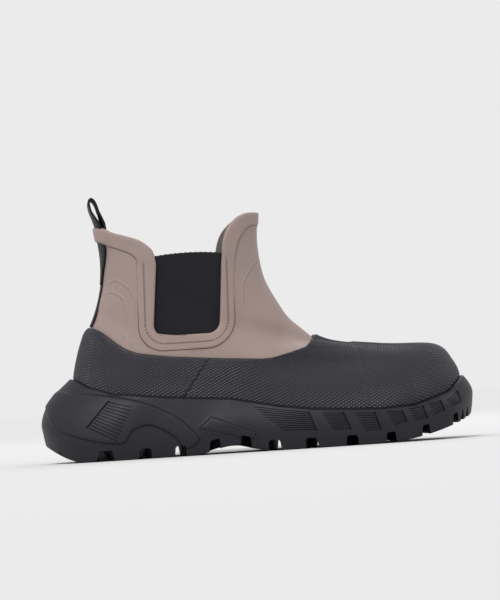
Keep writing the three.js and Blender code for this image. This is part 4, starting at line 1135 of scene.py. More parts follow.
def cap_gap(s, x, z):
    """Distance from the nearest cap's edge, below zero on a cap."""
    share = z / (2 * s.guard_height) - 0.5
    heel = x - (s.heel_cap_reach + s.cap_lean * share)
    toe = sole_length(s) - s.toe_cap_reach - 2 * s.cap_lean * share - x
    return np.minimum(heel, toe)


def rim_height(s, x):
    """The height of the sole's rim."""
    return line_height(RIM_LINE, x, sole_length(s), s.wall_height)


def guard_top(s, x):
    """The height of the guard's upper edge, its table's corners eased over a few millimetres."""
    ease_over = np.array([-1, -0.5, 0, 0.5, 1]) * 0.005
    return sum(line_height(GUARD_LINE, x + d, sole_length(s), s.guard_height) for d in ease_over) / 5


def build_guard(s, finish):
    """Rows share the way from the feather edge to the guard's line at each turn."""
    table = foot_table(s)
    turns = np.arange(GUARD_COLUMNS) / GUARD_COLUMNS
    top = row_at(s, table, turns, lambda x: guard_top(s, x) - s.edge_round)
    p = mix(GUARD_FOOT, top, np.linspace(0, 1, GUARD_ROWS)[:, None])
    turn = np.broadcast_to(turns, p.shape).copy()

    def push(edge_p, edge_t):
        rim = row_at(s, table, edge_t, lambda x: guard_top(s, x))
        return np.where(edge_p > 1, rim, edge_p), edge_t

    def outer(q, t):
        return guard_face(s, foot_point(s, table, q, t))

    def inner(q, t):
        return np.full_like(q, s.fit_gap)

    keep = np.ones((GUARD_ROWS - 1, GUARD_COLUMNS), bool)
    points, faces, (q, t), _ = closed_wall(s, table, p, turn, keep, outer, inner, push)
    obj = put_mesh(s, "guard_wall", points, faces, [guard_material(finish)])
    on = foot_point(s, table, q, t)
    add_values(obj, "seam", np.where(on[:, 1] < 0, guard_seam(s, on[:, 0], on[:, 2]), 0.01))
    hand_over(obj, "black_rubber", "foot_guard")


def guard_face(s, point):
    """How far the guard's outer face stands off the foot: more on the caps, less at the top edge,
    where the rubber is feathered."""
    cap = ease(0.5 - cap_gap(s, point[..., 0], point[..., 2]) / CAP_EDGE)
    below = guard_top(s, point[..., 0]) - point[..., 2]
    feather = 1 - FEATHER_SHARE * (1 - ease(below / FEATHER_HEIGHT))
    return s.fit_gap + (s.guard_wall + s.cap_step * cap) * feather


def build_knurl(s, finish):
    """Small pyramids on diamond bases all over the guard. Their lattice counts half diamonds
    round the foot, evenly along its middle ring, and up each column from the sole's rim by
    length along the surface. A pyramid is left out near the guard's edges and its seam."""
    table = foot_table(s)
    fine = np.arange(RING_STEPS + 1) / RING_STEPS
    ring = foot_point(s, table, np.full(RING_STEPS + 1, KNURL_RING), fine)
    around = np.concatenate([[0], np.cumsum(np.linalg.norm(np.diff(ring, axis=0), axis=1))])
    columns = 2 * int(round(around[-1] / s.knurl_width))
    turns = np.interp(np.arange(columns) * around[-1] / columns, around, fine)
    levels = np.linspace(0, LAST_ROW, RISE_LEVELS + 1)
    grid = foot_point(s, table, levels[:, None], turns[None])
    steps = np.linalg.norm(np.diff(grid, axis=0), axis=2)
    rise = np.concatenate([np.zeros((1, columns)), np.cumsum(steps, 0)])

    def rise_at(row):
        place = row / LAST_ROW * RISE_LEVELS
        low = np.minimum(place.astype(int), RISE_LEVELS - 1)
        each = np.arange(columns)
        return mix(rise[low, each], rise[low + 1, each], place - low)

    rim = rise_at(row_at(s, table, turns, lambda x: rim_height(s, x)))
    top = rise_at(row_at(s, table, turns, lambda x: guard_top(s, x)))
    rows = int((top - rim).max() / (s.knurl_rise / 2)) + 2
    goal = rim + KNURL_START + np.arange(rows)[:, None] * s.knurl_rise / 2
    low = np.clip((rise[:, None] < goal).sum(0) - 1, 0, RISE_LEVELS - 1)
    under = np.take_along_axis(rise, low, 0)
    over = np.take_along_axis(rise, low + 1, 0)
    p = (low + (goal - under) / (over - under)) / RISE_LEVELS * LAST_ROW
    p = np.clip(p, 0, LAST_ROW - 0.02)
    turn = np.broadcast_to(turns, p.shape)
    on = foot_point(s, table, p, turn)
    face = guard_face(s, on)
    normal = foot_normal(s, table, p, turn)
    base = on + normal * (face - KNURL_SINK)[..., None]
    peak = on + normal * (face + s.knurl_height)[..., None]
    j, i = np.meshgrid(np.arange(1, rows - 1), np.arange(columns), indexing="ij")
    x, z = on[..., 0], on[..., 2]
    seam = np.where(on[..., 1] < 0, abs(guard_seam(s, x, z) - SEAM_SHADOW), 1)
    clear = (seam > KNURL_SEAM_GAP) & (top - goal > KNURL_TOP_GAP + s.knurl_rise / 2)
    fits = ((i + j) % 2 == 1) & clear[1:-1]
    j, i = j[fits], i[fits]
    left, right = (i - 1) % columns, (i + 1) % columns
    corners = np.stack([base[j, left], base[j - 1, i], base[j, right], base[j + 1, i], peak[j, i]], 1)
    first = np.arange(len(j)) * 5
    sides = [np.stack([first + k, first + (k + 1) % 4, first + 4], 1) for k in range(4)]
    faces = [np.concatenate(sides), np.stack([first + k for k in (3, 2, 1, 0)], 1)]
    material = knurl_material(finish)
    obj = put_mesh(s, "guard_knurl", corners.reshape(-1, 3), faces, [material], smooth=False)
    # 1 at each pyramid's tip, where the painted highlight is brightest.
    add_values(obj, "tip", np.tile([0, 0, 0, 0, 1.0], len(j)))
    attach(obj, "root")


# The sole.
# Its grid: points round it, and rings up its wall.
SOLE_COLUMNS, WALL_RINGS = 400, 41
# How far the side plate's edge is spread.
PLATE_SPREAD = 0.0014
# Lengths of the stretches that a tread groove and a rib's groove are carried in.
TREAD_STRETCH, RIB_STRETCH = 0.004, 0.0016
# Rounding at a tread groove's floor, and how far every groove's cutter stands outside the rubber.
FLOOR_ROUND, TREAD_OUT, RIB_OUT = 0.0012, 0.03, 0.0005
# The deep groove at a field's end against the others, in width and in depth.
END_WIDER, END_DEEPER = 2.2, 1.6
# Depths against lug_depth: slots along the sole, pits and notches.
SLOT_SHARE, PIT_SHARE, NOTCH_SHARE = 0.85, 0.4, 0.7
# The angle between faces, in degrees, past which an edge is drawn sharp.
SHARP_FROM = 34
# Painted shade in the grooves of the ribbed fields: how far under the wall it starts, over what
# depth it grows, and how far round a ribbed field it counts.
SUNK_FROM, SUNK_OVER, SUNK_MARGIN = 0.00005, 0.0003, 0.0012
# The depth from the tread that the hatch reaches, and over what depth it fades.
HATCH_DEPTH, HATCH_FADE = 0.0006, 0.0004
# A distance too far off to draw a line.
FAR_OFF = 0.05


def sole_ring(s, turns, inset, rise, flare_share):
    """The sole's plan outline: a smooth curve through the reach table on each side, moved level
    along its normal by the inset and, at the waist's inner side, by the flare."""
    long = sole_length(s)
    inner = turns > 0.5
    angle = np.where(inner, 1 - turns, turns) * 360

    def at(a):
        x = long * (1 - np.cos(np.radians(a))) / 2
        out = curve_through(np.array(SOLE_OUTER, float), a / 15, SOLE_INNER[1], SOLE_INNER[11])
        into = curve_through(np.array(SOLE_INNER, float), a / 15, SOLE_OUTER[1], SOLE_OUTER[11])
        return np.stack([x, s.sole_width * np.where(inner, into, out)], -1)

    here = at(angle)
    along = at(np.minimum(180, angle + 1)) - at(np.maximum(0, angle - 1))
    along /= np.linalg.norm(along, axis=1, keepdims=True)
    sign = np.where(inner, 1.0, -1.0)
    outward = np.stack([-along[:, 1] * sign, along[:, 0] * sign], -1)
    waist = np.sin(np.pi * np.clip(along_stretch(s, here[:, 0], WAIST), 0, 1)) ** 2
    here = here + outward * (np.where(inner, flare_share * s.waist_flare * waist, 0) - inset)[:, None]
    return np.stack([here[:, 0], here[:, 1], ground_at(s, here[:, 0]) + rise], -1)


def share_points(s, points):
    """Side-view points from shares of the sole's length and wall_height."""
    return np.array(points, float) * np.array([sole_length(s), s.wall_height])


def sole_wall(s, table, columns):
    """The block's side, as rings from the tread's edge to the rim: a smooth curve through six
    levels, moved out level along its normal over the heel's step and the side plate. Returns
    the rings and the row of the foot's surface that the rim lies at."""
    turns = np.arange(columns) / columns
    rim_row = np.maximum(row_at(s, table, turns, lambda x: rim_height(s, x)), 0.3)
    wall = s.fit_gap + s.guard_wall + s.rim_ledge
    rim = offset_point(s, table, rim_row, turns, wall)
    bulge = sole_ring(s, turns, 0, s.bulge_rise, 1)
    edge = sole_ring(s, turns, s.sole_undercut, 0, 0)
    lug_top = sole_ring(s, turns, s.sole_undercut / 3, s.lug_depth, 0.25)
    levels = [edge, lug_top, bulge]
    for share in (0.35, 0.7):
        flat = mix(bulge, rim, share**1.7)
        flat[:, 2] = mix(bulge[:, 2], rim[:, 2], share)
        levels.append(flat)
    levels.append(rim)
    smooth = blend_levels(np.array(levels), np.linspace(0, len(levels) - 1, WALL_RINGS))
    x, z = smooth[..., 0], smooth[..., 2]
    step, _ = outline_distance(x, z, rounded_loop(share_points(s, HEEL_STEP)))
    plate, _ = outline_distance(x, z, share_points(s, SIDE_PLATE))
    lift = s.step_relief * ease(0.5 - step / STEP_SPREAD)
    lift += 0.7 * s.step_relief * ease(0.5 - plate / PLATE_SPREAD) * (smooth[..., 1] < 0)
    normal = np.cross(np.roll(smooth, -1, 1) - np.roll(smooth, 1, 1), [0, 0, 1.0])
    normal /= np.linalg.norm(normal, axis=2, keepdims=True)
    return smooth + normal * lift[..., None], rim_row


def sole_rings(s, table, columns):
    """The block's rings, from the tread's edge up the wall, over the rim, and down inside to the
    seat that the foot and the guard stand in, with eased edges below and above the wall."""
    turns = np.arange(columns) / columns
    smooth, rim_row = sole_wall(s, table, columns)
    rim = smooth[-1]
    over, under = rim_row + 0.012, rim_row - 0.02
    wall = s.fit_gap + s.guard_wall + s.rim_ledge
    foot = sole_ring(s, turns, s.sole_undercut + 0.0006, 0, 0)
    smooth[0, :, 2] += 0.0005
    cap = ease(0.5 - cap_gap(s, rim[:, 0], rim[:, 2]) / CAP_EDGE) * s.cap_step
    seat = s.fit_gap + s.guard_wall + cap
    lip = offset_point(s, table, over, turns, wall - 0.0008)
    ledge = offset_point(s, table, over, turns, seat + 0.0005)
    inside = [offset_point(s, table, row, turns, seat + 0.0002)
              for row in (under, rim_row * 0.66, rim_row * 0.33, np.zeros(columns))]
    inside[-1][:, 2] -= s.fit_gap
    return np.array([foot, *smooth, lip, ledge, *inside])


def blend_levels(levels, place):
    """A smooth curve through rings of points, at places counted in rings."""
    rows = np.concatenate([2 * levels[:1] - levels[1:2], levels, 2 * levels[-1:] - levels[-2:-1]])
    i = np.clip(np.floor(place).astype(int), 0, len(levels) - 2)
    return cubic([rows[i + k] for k in range(4)], (place - i)[:, None, None])


def rounded_loop(points, steps=8):
    """A closed smooth curve through points."""
    points = np.array(points, float)
    n = len(points)
    place = np.arange(n * steps) / steps
    i = np.floor(place).astype(int)
    return cubic([points[(i + k - 1) % n] for k in range(4)], (place - i)[:, None])


def groove_cutter(s, path, width, depth):
    """A groove's section carried along a path in plan: wide at the tread, drafted walls, and a
    floor with eased corners, its heights counted from the tread."""
    path, width = np.array(path, float), np.asarray(width, float)
    long = np.linalg.norm(np.diff(path, axis=0), axis=1).sum()
    steps = np.linspace(0, len(path) - 1, max(2, int(long / TREAD_STRETCH)))
    i = np.minimum(steps.astype(int), len(path) - 2)
    share = (steps - i)[:, None]
    widths = np.broadcast_to(width, (len(path),))
    middle = mix(path[i], path[i + 1], share)
    half = mix(widths[i], widths[i + 1], share[:, 0]) / 2
    run = np.gradient(middle, axis=0)
    run /= np.linalg.norm(run, axis=1, keepdims=True)
    across = np.stack([-run[:, 1], run[:, 0]], -1)
    # One half of the section, as shares of the groove's half-width and heights, and its mirror.
    side = np.array([(1.3, -TREAD_OUT), (1.12, 0), (0.94, depth - FLOOR_ROUND), (0.7, depth)])
    section = np.concatenate([side * (-1, 1), side[::-1]])
    flat = middle[:, None] + across[:, None] * (half[:, None] * section[:, 0])[..., None]
    rise = ground_at(s, flat[..., 0]) + section[:, 1]
    points = np.concatenate([flat, rise[..., None]], -1).reshape(-1, 3)
    n = len(section)
    sides = ring_faces(len(middle), n)[:, ::-1]
    ends = np.array([np.arange(n), (len(middle) - 1) * n + np.arange(n)[::-1]])
    return points, sides, ends


def tread_cutters(s):
    """Every groove, slot, pit and notch and the heel's hollow, sorted into sets in which none
    touches another. A groove across the sole bends as a parabola through its three places."""
    scale = np.array([sole_length(s), s.sole_width])
    cutters = []

    def cut(path, width, share):
        cutters.append(groove_cutter(s, path, width, share * s.lug_depth))

    for outer, middle, inner, start, end, width in CROSS_GROOVES:
        across = np.linspace(start, end, 9)
        t = across / 0.5
        along = middle + t * (inner - outer) / 2 + t * t * ((inner + outer) / 2 - middle)
        cut(np.stack([along, across], -1) * scale, s.groove_width * width, 1)
    for width, *path in LENGTH_SLOTS:
        cut(np.array(path) * scale, s.slot_width * width, SLOT_SHARE)
    for place in REAR_PITS:
        x, y = np.array(place) * scale
        cut([(x - s.pit_width / 2, y), (x + s.pit_width / 2, y)], s.pit_width, PIT_SHARE)
    for back, front, y, width in HEEL_NOTCHES:
        cut(np.array([(back, y), (front, y)]) * scale, width * s.sole_width, NOTCH_SHARE)
    hollow = np.array(HEEL_HOLLOW)
    cut(hollow[:, :2] * scale, hollow[:, 2] * scale[0], 1)
    boxes = [(c[0].min(0), c[0].max(0)) for c in cutters]
    sets = []
    for k, (low, high) in enumerate(boxes):
        for group in sets:
            if all((low > boxes[j][1]).any() or (high < boxes[j][0]).any() for j in group):
                group.append(k)
                break
        else:
            sets.append([k])
    return [[cutters[k] for k in group] for group in sets]


def wall_reach(wall, x, z, side):
    """How far the sole's wall reaches across at side-view points, on the outer side (-1) or the
    inner one (1): each ring's reach at x, then between the rings by height."""
    columns = wall.shape[1]
    half = wall[:, : columns // 2] if side < 0 else wall[:, : columns // 2 : -1]
    reach = np.array([np.interp(x, ring[:, 0], ring[:, 1]) for ring in half])
    height = np.array([np.interp(x, ring[:, 0], ring[:, 2]) for ring in half])
    k = np.clip((height < z).sum(0) - 1, 0, len(wall) - 2)[None]
    low, high = (np.take_along_axis(height, k + d, 0)[0] for d in (0, 1))
    share = np.clip((z - low) / (high - low), 0, 1)
    return mix(np.take_along_axis(reach, k, 0)[0], np.take_along_axis(reach, k + 1, 0)[0], share)


def volume(points, faces):
    """Six times the volume inside closed faces of four corners, below zero where they face in."""
    a, b, c, d = (points[faces[:, k]] for k in range(4))
    return (a * (np.cross(b, c) + np.cross(c, d))).sum()


def side_groove(wall, start, end, side, width, depth):
    """A narrow groove's section, wider outside than at its floor, carried along a straight
    side-view line and square to the sole's wall."""
    count = max(3, int(np.linalg.norm(end - start) / RIB_STRETCH))
    x, z = mix(start, end, np.linspace(0, 1, count)[:, None]).T
    step = 0.0005
    y = wall_reach(wall, x, z, side)
    slope_x = (wall_reach(wall, x + step, z, side) - wall_reach(wall, x - step, z, side)) / (2 * step)
    slope_z = (wall_reach(wall, x, z + step, side) - wall_reach(wall, x, z - step, side)) / (2 * step)
    out = np.stack([-side * slope_x, side + 0 * x, -side * slope_z], -1)
    out /= np.linalg.norm(out, axis=1, keepdims=True)
    middle = np.stack([x, y, z], -1)
    across = np.cross(out, np.gradient(middle, axis=0))
    across /= np.linalg.norm(across, axis=1, keepdims=True)
    section = np.array([(-0.8, RIB_OUT), (-0.3, -depth), (0.3, -depth), (0.8, RIB_OUT)])
    points = middle[:, None] + across[:, None] * (section[:, :1] * width) + out[:, None] * section[:, 1:]
    points = points.reshape(-1, 3)
    sides = ring_faces(count, 4)
    ends = np.array([[3, 2, 1, 0], (count - 1) * 4 + np.arange(4)])
    if volume(points, np.concatenate([sides, ends])) < 0:
        sides, ends = sides[:, ::-1], ends[:, ::-1]
    return points, sides, ends


def rib_cutters(s, wall):
    """The grooves between the ribs of every side field, and the deep groove at each field's end,
    as two sets."""
    ribs, ends = [], []
    for side in (-1, 1):
        for *corners, count, deep_at_back in RIB_FIELDS:
            top_back, top_front, foot_front, foot_back = share_points(s, corners)
            for share in (np.arange(count) + 0.5) / count:
                back, front = mix(top_back, foot_back, share), mix(top_front, foot_front, share)
                ribs.append(side_groove(wall, back, front, side, s.rib_groove, s.rib_depth))
            top, foot = (top_back, foot_back) if deep_at_back else (top_front, foot_front)
            width, depth = END_WIDER * s.rib_groove, END_DEEPER * s.rib_depth
            ends.append(side_groove(wall, top, foot, side, width, depth))
    return [ribs, ends]


def joined(parts):
    """Several closed shapes as one list of points and faces."""
    points, quads, ends, start = [], [], [], 0
    for part_points, part_quads, part_ends in parts:
        points.append(part_points)
        quads.append(part_quads + start)
        ends.append(part_ends + start)
        start += len(part_points)
    return np.concatenate(points), [np.concatenate(quads), np.concatenate(ends)]


def carve(obj, cutters):
    """Takes the cutters away from the piece, and keeps the result as its mesh."""
    for cutter in cutters:
        cut = obj.modifiers.new("cut", "BOOLEAN")
        cut.operation = "DIFFERENCE"
        cut.solver = "MANIFOLD"
        cut.object = cutter
    bpy.context.view_layer.update()
    made = bpy.data.meshes.new_from_object(obj.evaluated_get(bpy.context.evaluated_depsgraph_get()))
    if len(made.polygons) < 1000:
        raise RuntimeError("the sole's cuts failed")
    obj.modifiers.clear()
    old = obj.data
    obj.data = made
    bpy.data.meshes.remove(old)
    for cutter in cutters:
        mesh = cutter.data
        bpy.data.objects.remove(cutter)
        bpy.data.meshes.remove(mesh)


def build_sole(s, finish):
    """A block of rings, with the tread's grooves and the ribs' grooves cut out of it."""
    table = foot_table(s)
    rings = sole_rings(s, table, SOLE_COLUMNS)
    wall, _ = sole_wall(s, table, SOLE_COLUMNS)
    faces = capped_faces(len(rings), SOLE_COLUMNS)
    material = sole_material(finish)
    obj = put_mesh(s, "lugged_sole", rings.reshape(-1, 3), faces, [material])
    cutters = []
    for group in tread_cutters(s) + rib_cutters(s, wall):
        points, cutter_faces = joined(group)
        cutters.append(put_mesh(s, "groove_cutter", points, cutter_faces, [material]))
    carve(obj, cutters)
    mesh = obj.data
    co = np.empty(len(mesh.vertices) * 3, np.float32)
    mesh.vertices.foreach_get("co", co)
    co = co.reshape(-1, 3).astype(float) + np.array([s.middle_x, s.middle_y, 0])
    x, z = co[:, 0], co[:, 2]
    fields = [outline_distance(x, z, share_points(s, corners))[0] for *corners, _, _ in RIB_FIELDS]
    field = np.min(fields, axis=0)
    reach = np.where(co[:, 1] < 0, -wall_reach(wall, x, z, -1), wall_reach(wall, x, z, 1))
    # How far each point sinks into a ribbed field's groove, for the painted shade there.
    groove_shade = ease((reach - abs(co[:, 1]) - SUNK_FROM) / SUNK_OVER) * (field < SUNK_MARGIN)
    step, _ = outline_distance(x, z, rounded_loop(share_points(s, HEEL_STEP)))
    plate, _ = outline_distance(x, z, share_points(s, SIDE_PLATE))
    depth = z - ground_at(s, x)
    mesh.polygons.foreach_set("use_smooth", np.ones(len(mesh.polygons), bool))
    mesh.set_sharp_from_angle(angle=np.radians(SHARP_FROM))
    # Values for the painted shade in the rib grooves, the heel step's lip and painted shadow line, the
    # plate's groove and painted shade, and the hatch with its painted highlight.
    add_values(obj, "groove_shade", groove_shade)
    add_values(obj, "step", step)
    add_values(obj, "plate", np.where(co[:, 1] < 0, plate, FAR_OFF))
    add_values(obj, "hatch", ease((HATCH_DEPTH - depth) / HATCH_FADE))
    hand_over(obj, "black_rubber", "outsole")


# Panels, insole, loop and strip.
# Grids: rows and columns of a panel, points round the insole, and for the tape its columns and its
# stations outside, over the top (with both ends) and inside, and the strip's stations and columns.
PANEL_ROWS, PANEL_COLUMNS = 90, 70
INSOLE_COLUMNS = 160
TAPE_COLUMNS, TAPE_OUTSIDE, TAPE_LOOP, TAPE_INSIDE = 21, 44, 48, 16
STRIP_STATIONS, STRIP_COLUMNS = 30, 13
# The last of FOOT_ROWS, which a search for a place on the shaft's side starts from, and the
# search's small steps.
SHAFT_ROW, ROW_STEP, TURN_STEP = 6, 1e-3, 1e-4
# A panel's uneven edge, its depth behind the frame and the swell of its middle.
FLUFF, PANEL_SUNK, PANEL_SWELL = 0.00016, 0.0003, 0.0007


def solve_side(s, table, x, z, inner):
    """Rows and turns of side-view points on one side of the shaft, by Newton steps on both."""
    low = table[SHAFT_ROW, 0]
    share = np.clip((x - low) / (table[SHAFT_ROW, 1] - low), 0.02, 0.98)
    turn = np.arccos(1 - 2 * share) / (2 * np.pi)
    turn = 1 - turn if inner else turn
    p = np.full_like(x, SHAFT_ROW + 0.5)
    for _ in range(14):
        here = foot_point(s, table, p, turn)
        up = (foot_point(s, table, p + ROW_STEP, turn) - here) / ROW_STEP
        beside = (foot_point(s, table, p, turn + TURN_STEP) - here) / TURN_STEP
        ex, ez = x - here[..., 0], z - here[..., 2]
        det = up[..., 0] * beside[..., 2] - up[..., 2] * beside[..., 0]
        p = p + np.clip((ex * beside[..., 2] - ez * beside[..., 0]) / det, -0.6, 0.6)
        turn = turn + np.clip((up[..., 0] * ez - up[..., 2] * ex) / det, -0.03, 0.03)
    return p, turn


def slab_faces(rows, columns):
    """A grid and the same grid behind it, closed round the edge."""
    k, i = np.meshgrid(np.arange(rows - 1), np.arange(columns - 1), indexing="ij")
    a = (k * columns + i).ravel()
    front = np.stack([a, a + 1, a + columns + 1, a + columns], 1)
    total = rows * columns
    grid = np.arange(total).reshape(rows, columns)
    loop = np.concatenate([grid[0, :-1], grid[:-1, -1], grid[-1, :0:-1], grid[:0:-1, 0]])
    after = np.roll(loop, -1)
    edge = np.stack([after, loop, loop + total, after + total], 1)
    return np.concatenate([front, front[:, ::-1] + total, edge])


def build_panel(s, finish, inner):
    """The panel is the foot's surface behind the frame, from lap to lap, swollen a little in its
    middle, with an uneven upper edge."""
    table = foot_table(s)
    rows, columns = (np.linspace(0, 1, n) for n in (PANEL_ROWS, PANEL_COLUMNS))
    up, over = np.meshgrid(rows, columns, indexing="ij")
    half = s.panel_width / 2 + s.panel_lap
    foot = s.panel_foot_height - s.panel_lap
    fluff = FLUFF * (np.sin(over * 211) + np.sin(over * 97 + 1)) * (up > 0.999)
    top = s.panel_top_height + s.panel_crown * 4 * over * (1 - over)
    z = mix(foot, top, up) + fluff
    x = panel_middle(s) + (2 * over - 1) * half
    x, z = leaned(s, np.stack([x.ravel(), z.ravel()], 1)).T.reshape(2, *z.shape)
    p, turn = solve_side(s, table, x, z, inner)
    swell = PANEL_SWELL * np.sin(np.pi * over) * np.sin(np.pi * np.clip(up * 1.1, 0, 1))
    outer = -s.upper_wall - s.fit_gap
    front = offset_point(s, table, p, turn, outer - PANEL_SUNK + swell)
    back = offset_point(s, table, p, turn, outer - s.panel_thickness)
    faces = slab_faces(PANEL_ROWS, PANEL_COLUMNS)
    faces = faces if not inner else faces[:, ::-1]
    points = np.concatenate([front.reshape(-1, 3), back.reshape(-1, 3)])
    name = "elastic_weave_inner" if inner else "elastic_weave_outer"
    obj = put_mesh(s, name, points, faces, [elastic_material(finish)])
    u, v = ((2 * over - 1) * half).ravel(), (z - foot).ravel()
    add_uv(obj, np.stack([np.tile(u, 2)[faces], np.tile(v, 2)[faces]], -1))
    hand_over(obj, "black_elastic", "elastic_panel_inner" if inner else "elastic_panel_outer")


def build_insole(s, finish):
    """Rings shrink from the wall to the boot's middle line, with an eased edge, and rise toward it:
    by a cup round the heel, as the fourth power of the ring's share, and by a shallow dish all
    over, as its square."""
    table = foot_table(s)
    count = np.arange(INSOLE_COLUMNS)
    edge = offset_point(s, table, 0 * count, count / INSOLE_COLUMNS, -s.upper_wall - s.fit_gap)
    opposite = edge[-count % INSOLE_COLUMNS]
    middle = (edge + opposite) / 2
    middle[:, 2] = edge[:, 2]
    heel = 1 - ease((edge[:, 0] / sole_length(s) - 0.2) / 0.25)
    rings = [edge]
    for share in (1.0, 0.985, 0.9, 0.75, 0.55, 0.35, 0.15):
        ring = mix(middle, edge, share)
        cup = 0.0022 * heel * share**4 + 0.0012 * (share**2 - 0.4)
        ring[:, 2] += s.insole_thickness - 0.0006 + cup - 0.0008 * (share == 1)
        rings.append(ring)
    rings = np.array(rings)
    faces = capped_faces(len(rings), INSOLE_COLUMNS)
    obj = put_mesh(s, "insole_cover", rings.reshape(-1, 3), faces, [insole_material(finish)])
    hand_over(obj, "insole_cloth", "insole")


def turn_at(s, table, p, reach):
    """The turn at which the heel's back is a distance off the middle line, by halving."""
    low, high = np.zeros_like(reach), np.full_like(reach, 0.25)
    for _ in range(HALVINGS):
        middle = (low + high) / 2
        short = abs(foot_point(s, table, p, middle)[..., 1]) < reach
        low, high = np.where(short, middle, low), np.where(short, high, middle)
    return low


def back_stations(s, table, heights, half_widths, offset, columns):
    """Points across the boot's back at each height, at an offset from the foot's surface."""
    zero = np.zeros(len(heights))
    rows = row_at(s, table, zero, lambda x: np.asarray(heights, float))
    share = 1 - 2 * np.arange(columns) / (columns - 1)
    p = np.broadcast_to(rows[:, None], (len(heights), columns))
    reach = abs(share) * np.broadcast_to(half_widths, zero.shape)[:, None]
    turn = np.sign(share) * turn_at(s, table, p, reach)
    return offset_point(s, table, p, turn, offset)


def tape(s, name, middle, thickness, widths, material, slot, node, rounding=0.3):
    """A flat tape: each station's points, with a face on either side. The front one sinks toward
    the tape's edges by the rounding's share of half the thickness."""
    stations, columns, _ = middle.shape
    outward = np.cross(np.gradient(middle, axis=1), np.gradient(middle, axis=0))
    outward /= np.linalg.norm(outward, axis=2, keepdims=True)
    if outward[3, columns // 2, 0] > 0:  # near the tape's foot, out is toward the boot's rear
        outward = -outward
    share = abs(1 - 2 * np.arange(columns) / (columns - 1))
    thin = (thickness / 2) * (1 - rounding * share**6)
    front = middle + outward * thin[None, :, None]
    back = middle - outward * thickness / 2
    points = np.concatenate([front.reshape(-1, 3), back.reshape(-1, 3)])
    faces = slab_faces(stations, columns)
    tried = faces[len(faces) // 5]  # a face on the front
    a, b, c = points[tried[:3]]
    if np.dot(np.cross(b - a, c - a), outward.reshape(-1, 3)[tried[0]]) < 0:
        faces = faces[:, ::-1]
    obj = put_mesh(s, name, points, faces, [material])
    step = np.linalg.norm(np.diff(middle[:, columns // 2], axis=0), axis=1)
    v = np.repeat(np.concatenate([[0], np.cumsum(step)])[:, None], columns, 1)
    u = (1 - 2 * np.arange(columns) / (columns - 1))[None] * np.asarray(widths)[:, None] / 2
    add_uv(obj, np.stack([np.tile(u.ravel(), 2)[faces], np.tile(v.ravel(), 2)[faces]], -1))
    add_values(obj, "across", np.tile(u.ravel(), 2))
    hand_over(obj, slot, node)


def build_loop(s, finish):
    """The tape runs up the heel from its narrow foot, under the collar band, out of the collar as
    a loop that leans back, and down inside."""
    table = foot_table(s)
    half = TAPE_COLUMNS // 2
    top = s.back_tab_height + s.strap_thickness / 2
    heights = np.linspace(s.strap_foot_height, top, TAPE_OUTSIDE)
    under_band = ease((s.back_tab_height - s.band_width + 0.001 - heights) / 0.003)
    taper = ease((heights - s.strap_foot_height) / 0.024)
    widths = mix(s.strip_width, mix(s.strap_width, s.patch_width, under_band), taper)
    outside = s.fit_gap / 3 + s.strap_thickness / 2
    outer = back_stations(s, table, heights, widths / 2, outside, TAPE_COLUMNS)
    down = np.linspace(top, top - s.strap_inner_length, TAPE_INSIDE)
    inside = -s.upper_wall - s.fit_gap - s.strap_thickness / 2
    inner = back_stations(s, table, down, s.strap_width / 2, inside, TAPE_COLUMNS)
    share = np.linspace(0, 1, TAPE_LOOP)[1:-1]
    rise = s.loop_rise * np.sin(np.pi * share) ** 0.8
    bulge = s.loop_bulge * np.sin(2 * np.pi * share) * 0.5
    base = mix(outer[-1][None], inner[0][None], ease(share)[:, None, None])
    centre = mix(outer[-1][half, 0], inner[0][half, 0], ease(share))
    flat = mix(base[..., 0], centre[:, None], np.minimum(1, 2 * rise / s.loop_rise)[:, None])
    lean = s.loop_lean * rise / s.loop_rise
    loop = np.stack([flat - (lean + bulge)[:, None], base[..., 1], base[..., 2] + rise[:, None]], -1)
    middle = np.concatenate([outer, loop, inner])
    all_widths = np.concatenate([widths, np.full(len(share) + len(down), s.strap_width)])
    material = tape_material(finish)
    tape(s, "pull_tape", middle, s.strap_thickness, all_widths, material, "loop_tape", "pull_loop")


def build_strip(s, finish):
    """The strip runs down the back seam to the guard's edge."""
    table = foot_table(s)
    foot = s.guard_height * GUARD_LINE[0][1] - s.edge_round / 2
    heights = np.linspace(foot, s.strap_foot_height - s.fit_gap, STRIP_STATIONS)
    middle = back_stations(s, table, heights, s.strip_width / 2, s.strip_thickness / 2, STRIP_COLUMNS)
    widths = np.full(STRIP_STATIONS, s.strip_width)
    tape(s, "back_seam_strip", middle, s.strip_thickness, widths, strip_material(finish),
         "black_rubber", "back_strip", rounding=0.6)


# Operators.
def settings():
    """The sizes and the finish that the user has set."""
    scene = bpy.context.scene
    return scene.boot_sizes, scene.boot_finish


class BOOT_OT_upper(bpy.types.Operator):
    """Builds the rubber upper with its lining"""

    bl_idname = "boot.upper"
    bl_label = "Build upper"

    def execute(self, context):
        build_upper(*settings())
        return {"FINISHED"}


class BOOT_OT_guard(bpy.types.Operator):
    """Builds the knurled guard round the foot"""

    bl_idname = "boot.guard"
    bl_label = "Build guard"

    def execute(self, context):
        build_guard(*settings())
        build_knurl(*settings())
        return {"FINISHED"}


class BOOT_OT_sole(bpy.types.Operator):
    """Builds the lugged outsole"""

    bl_idname = "boot.sole"
    bl_label = "Build sole"

    def execute(self, context):
        build_sole(*settings())
        return {"FINISHED"}


class BOOT_OT_panels(bpy.types.Operator):
    """Builds both elastic side panels"""

    bl_idname = "boot.panels"
    bl_label = "Build elastic panels"

    def execute(self, context):
        for inner in (False, True):
            build_panel(*settings(), inner)
        return {"FINISHED"}


class BOOT_OT_insole(bpy.types.Operator):
    """Builds the insole"""

    bl_idname = "boot.insole"
    bl_label = "Build insole"

    def execute(self, context):
        build_insole(*settings())
        return {"FINISHED"}


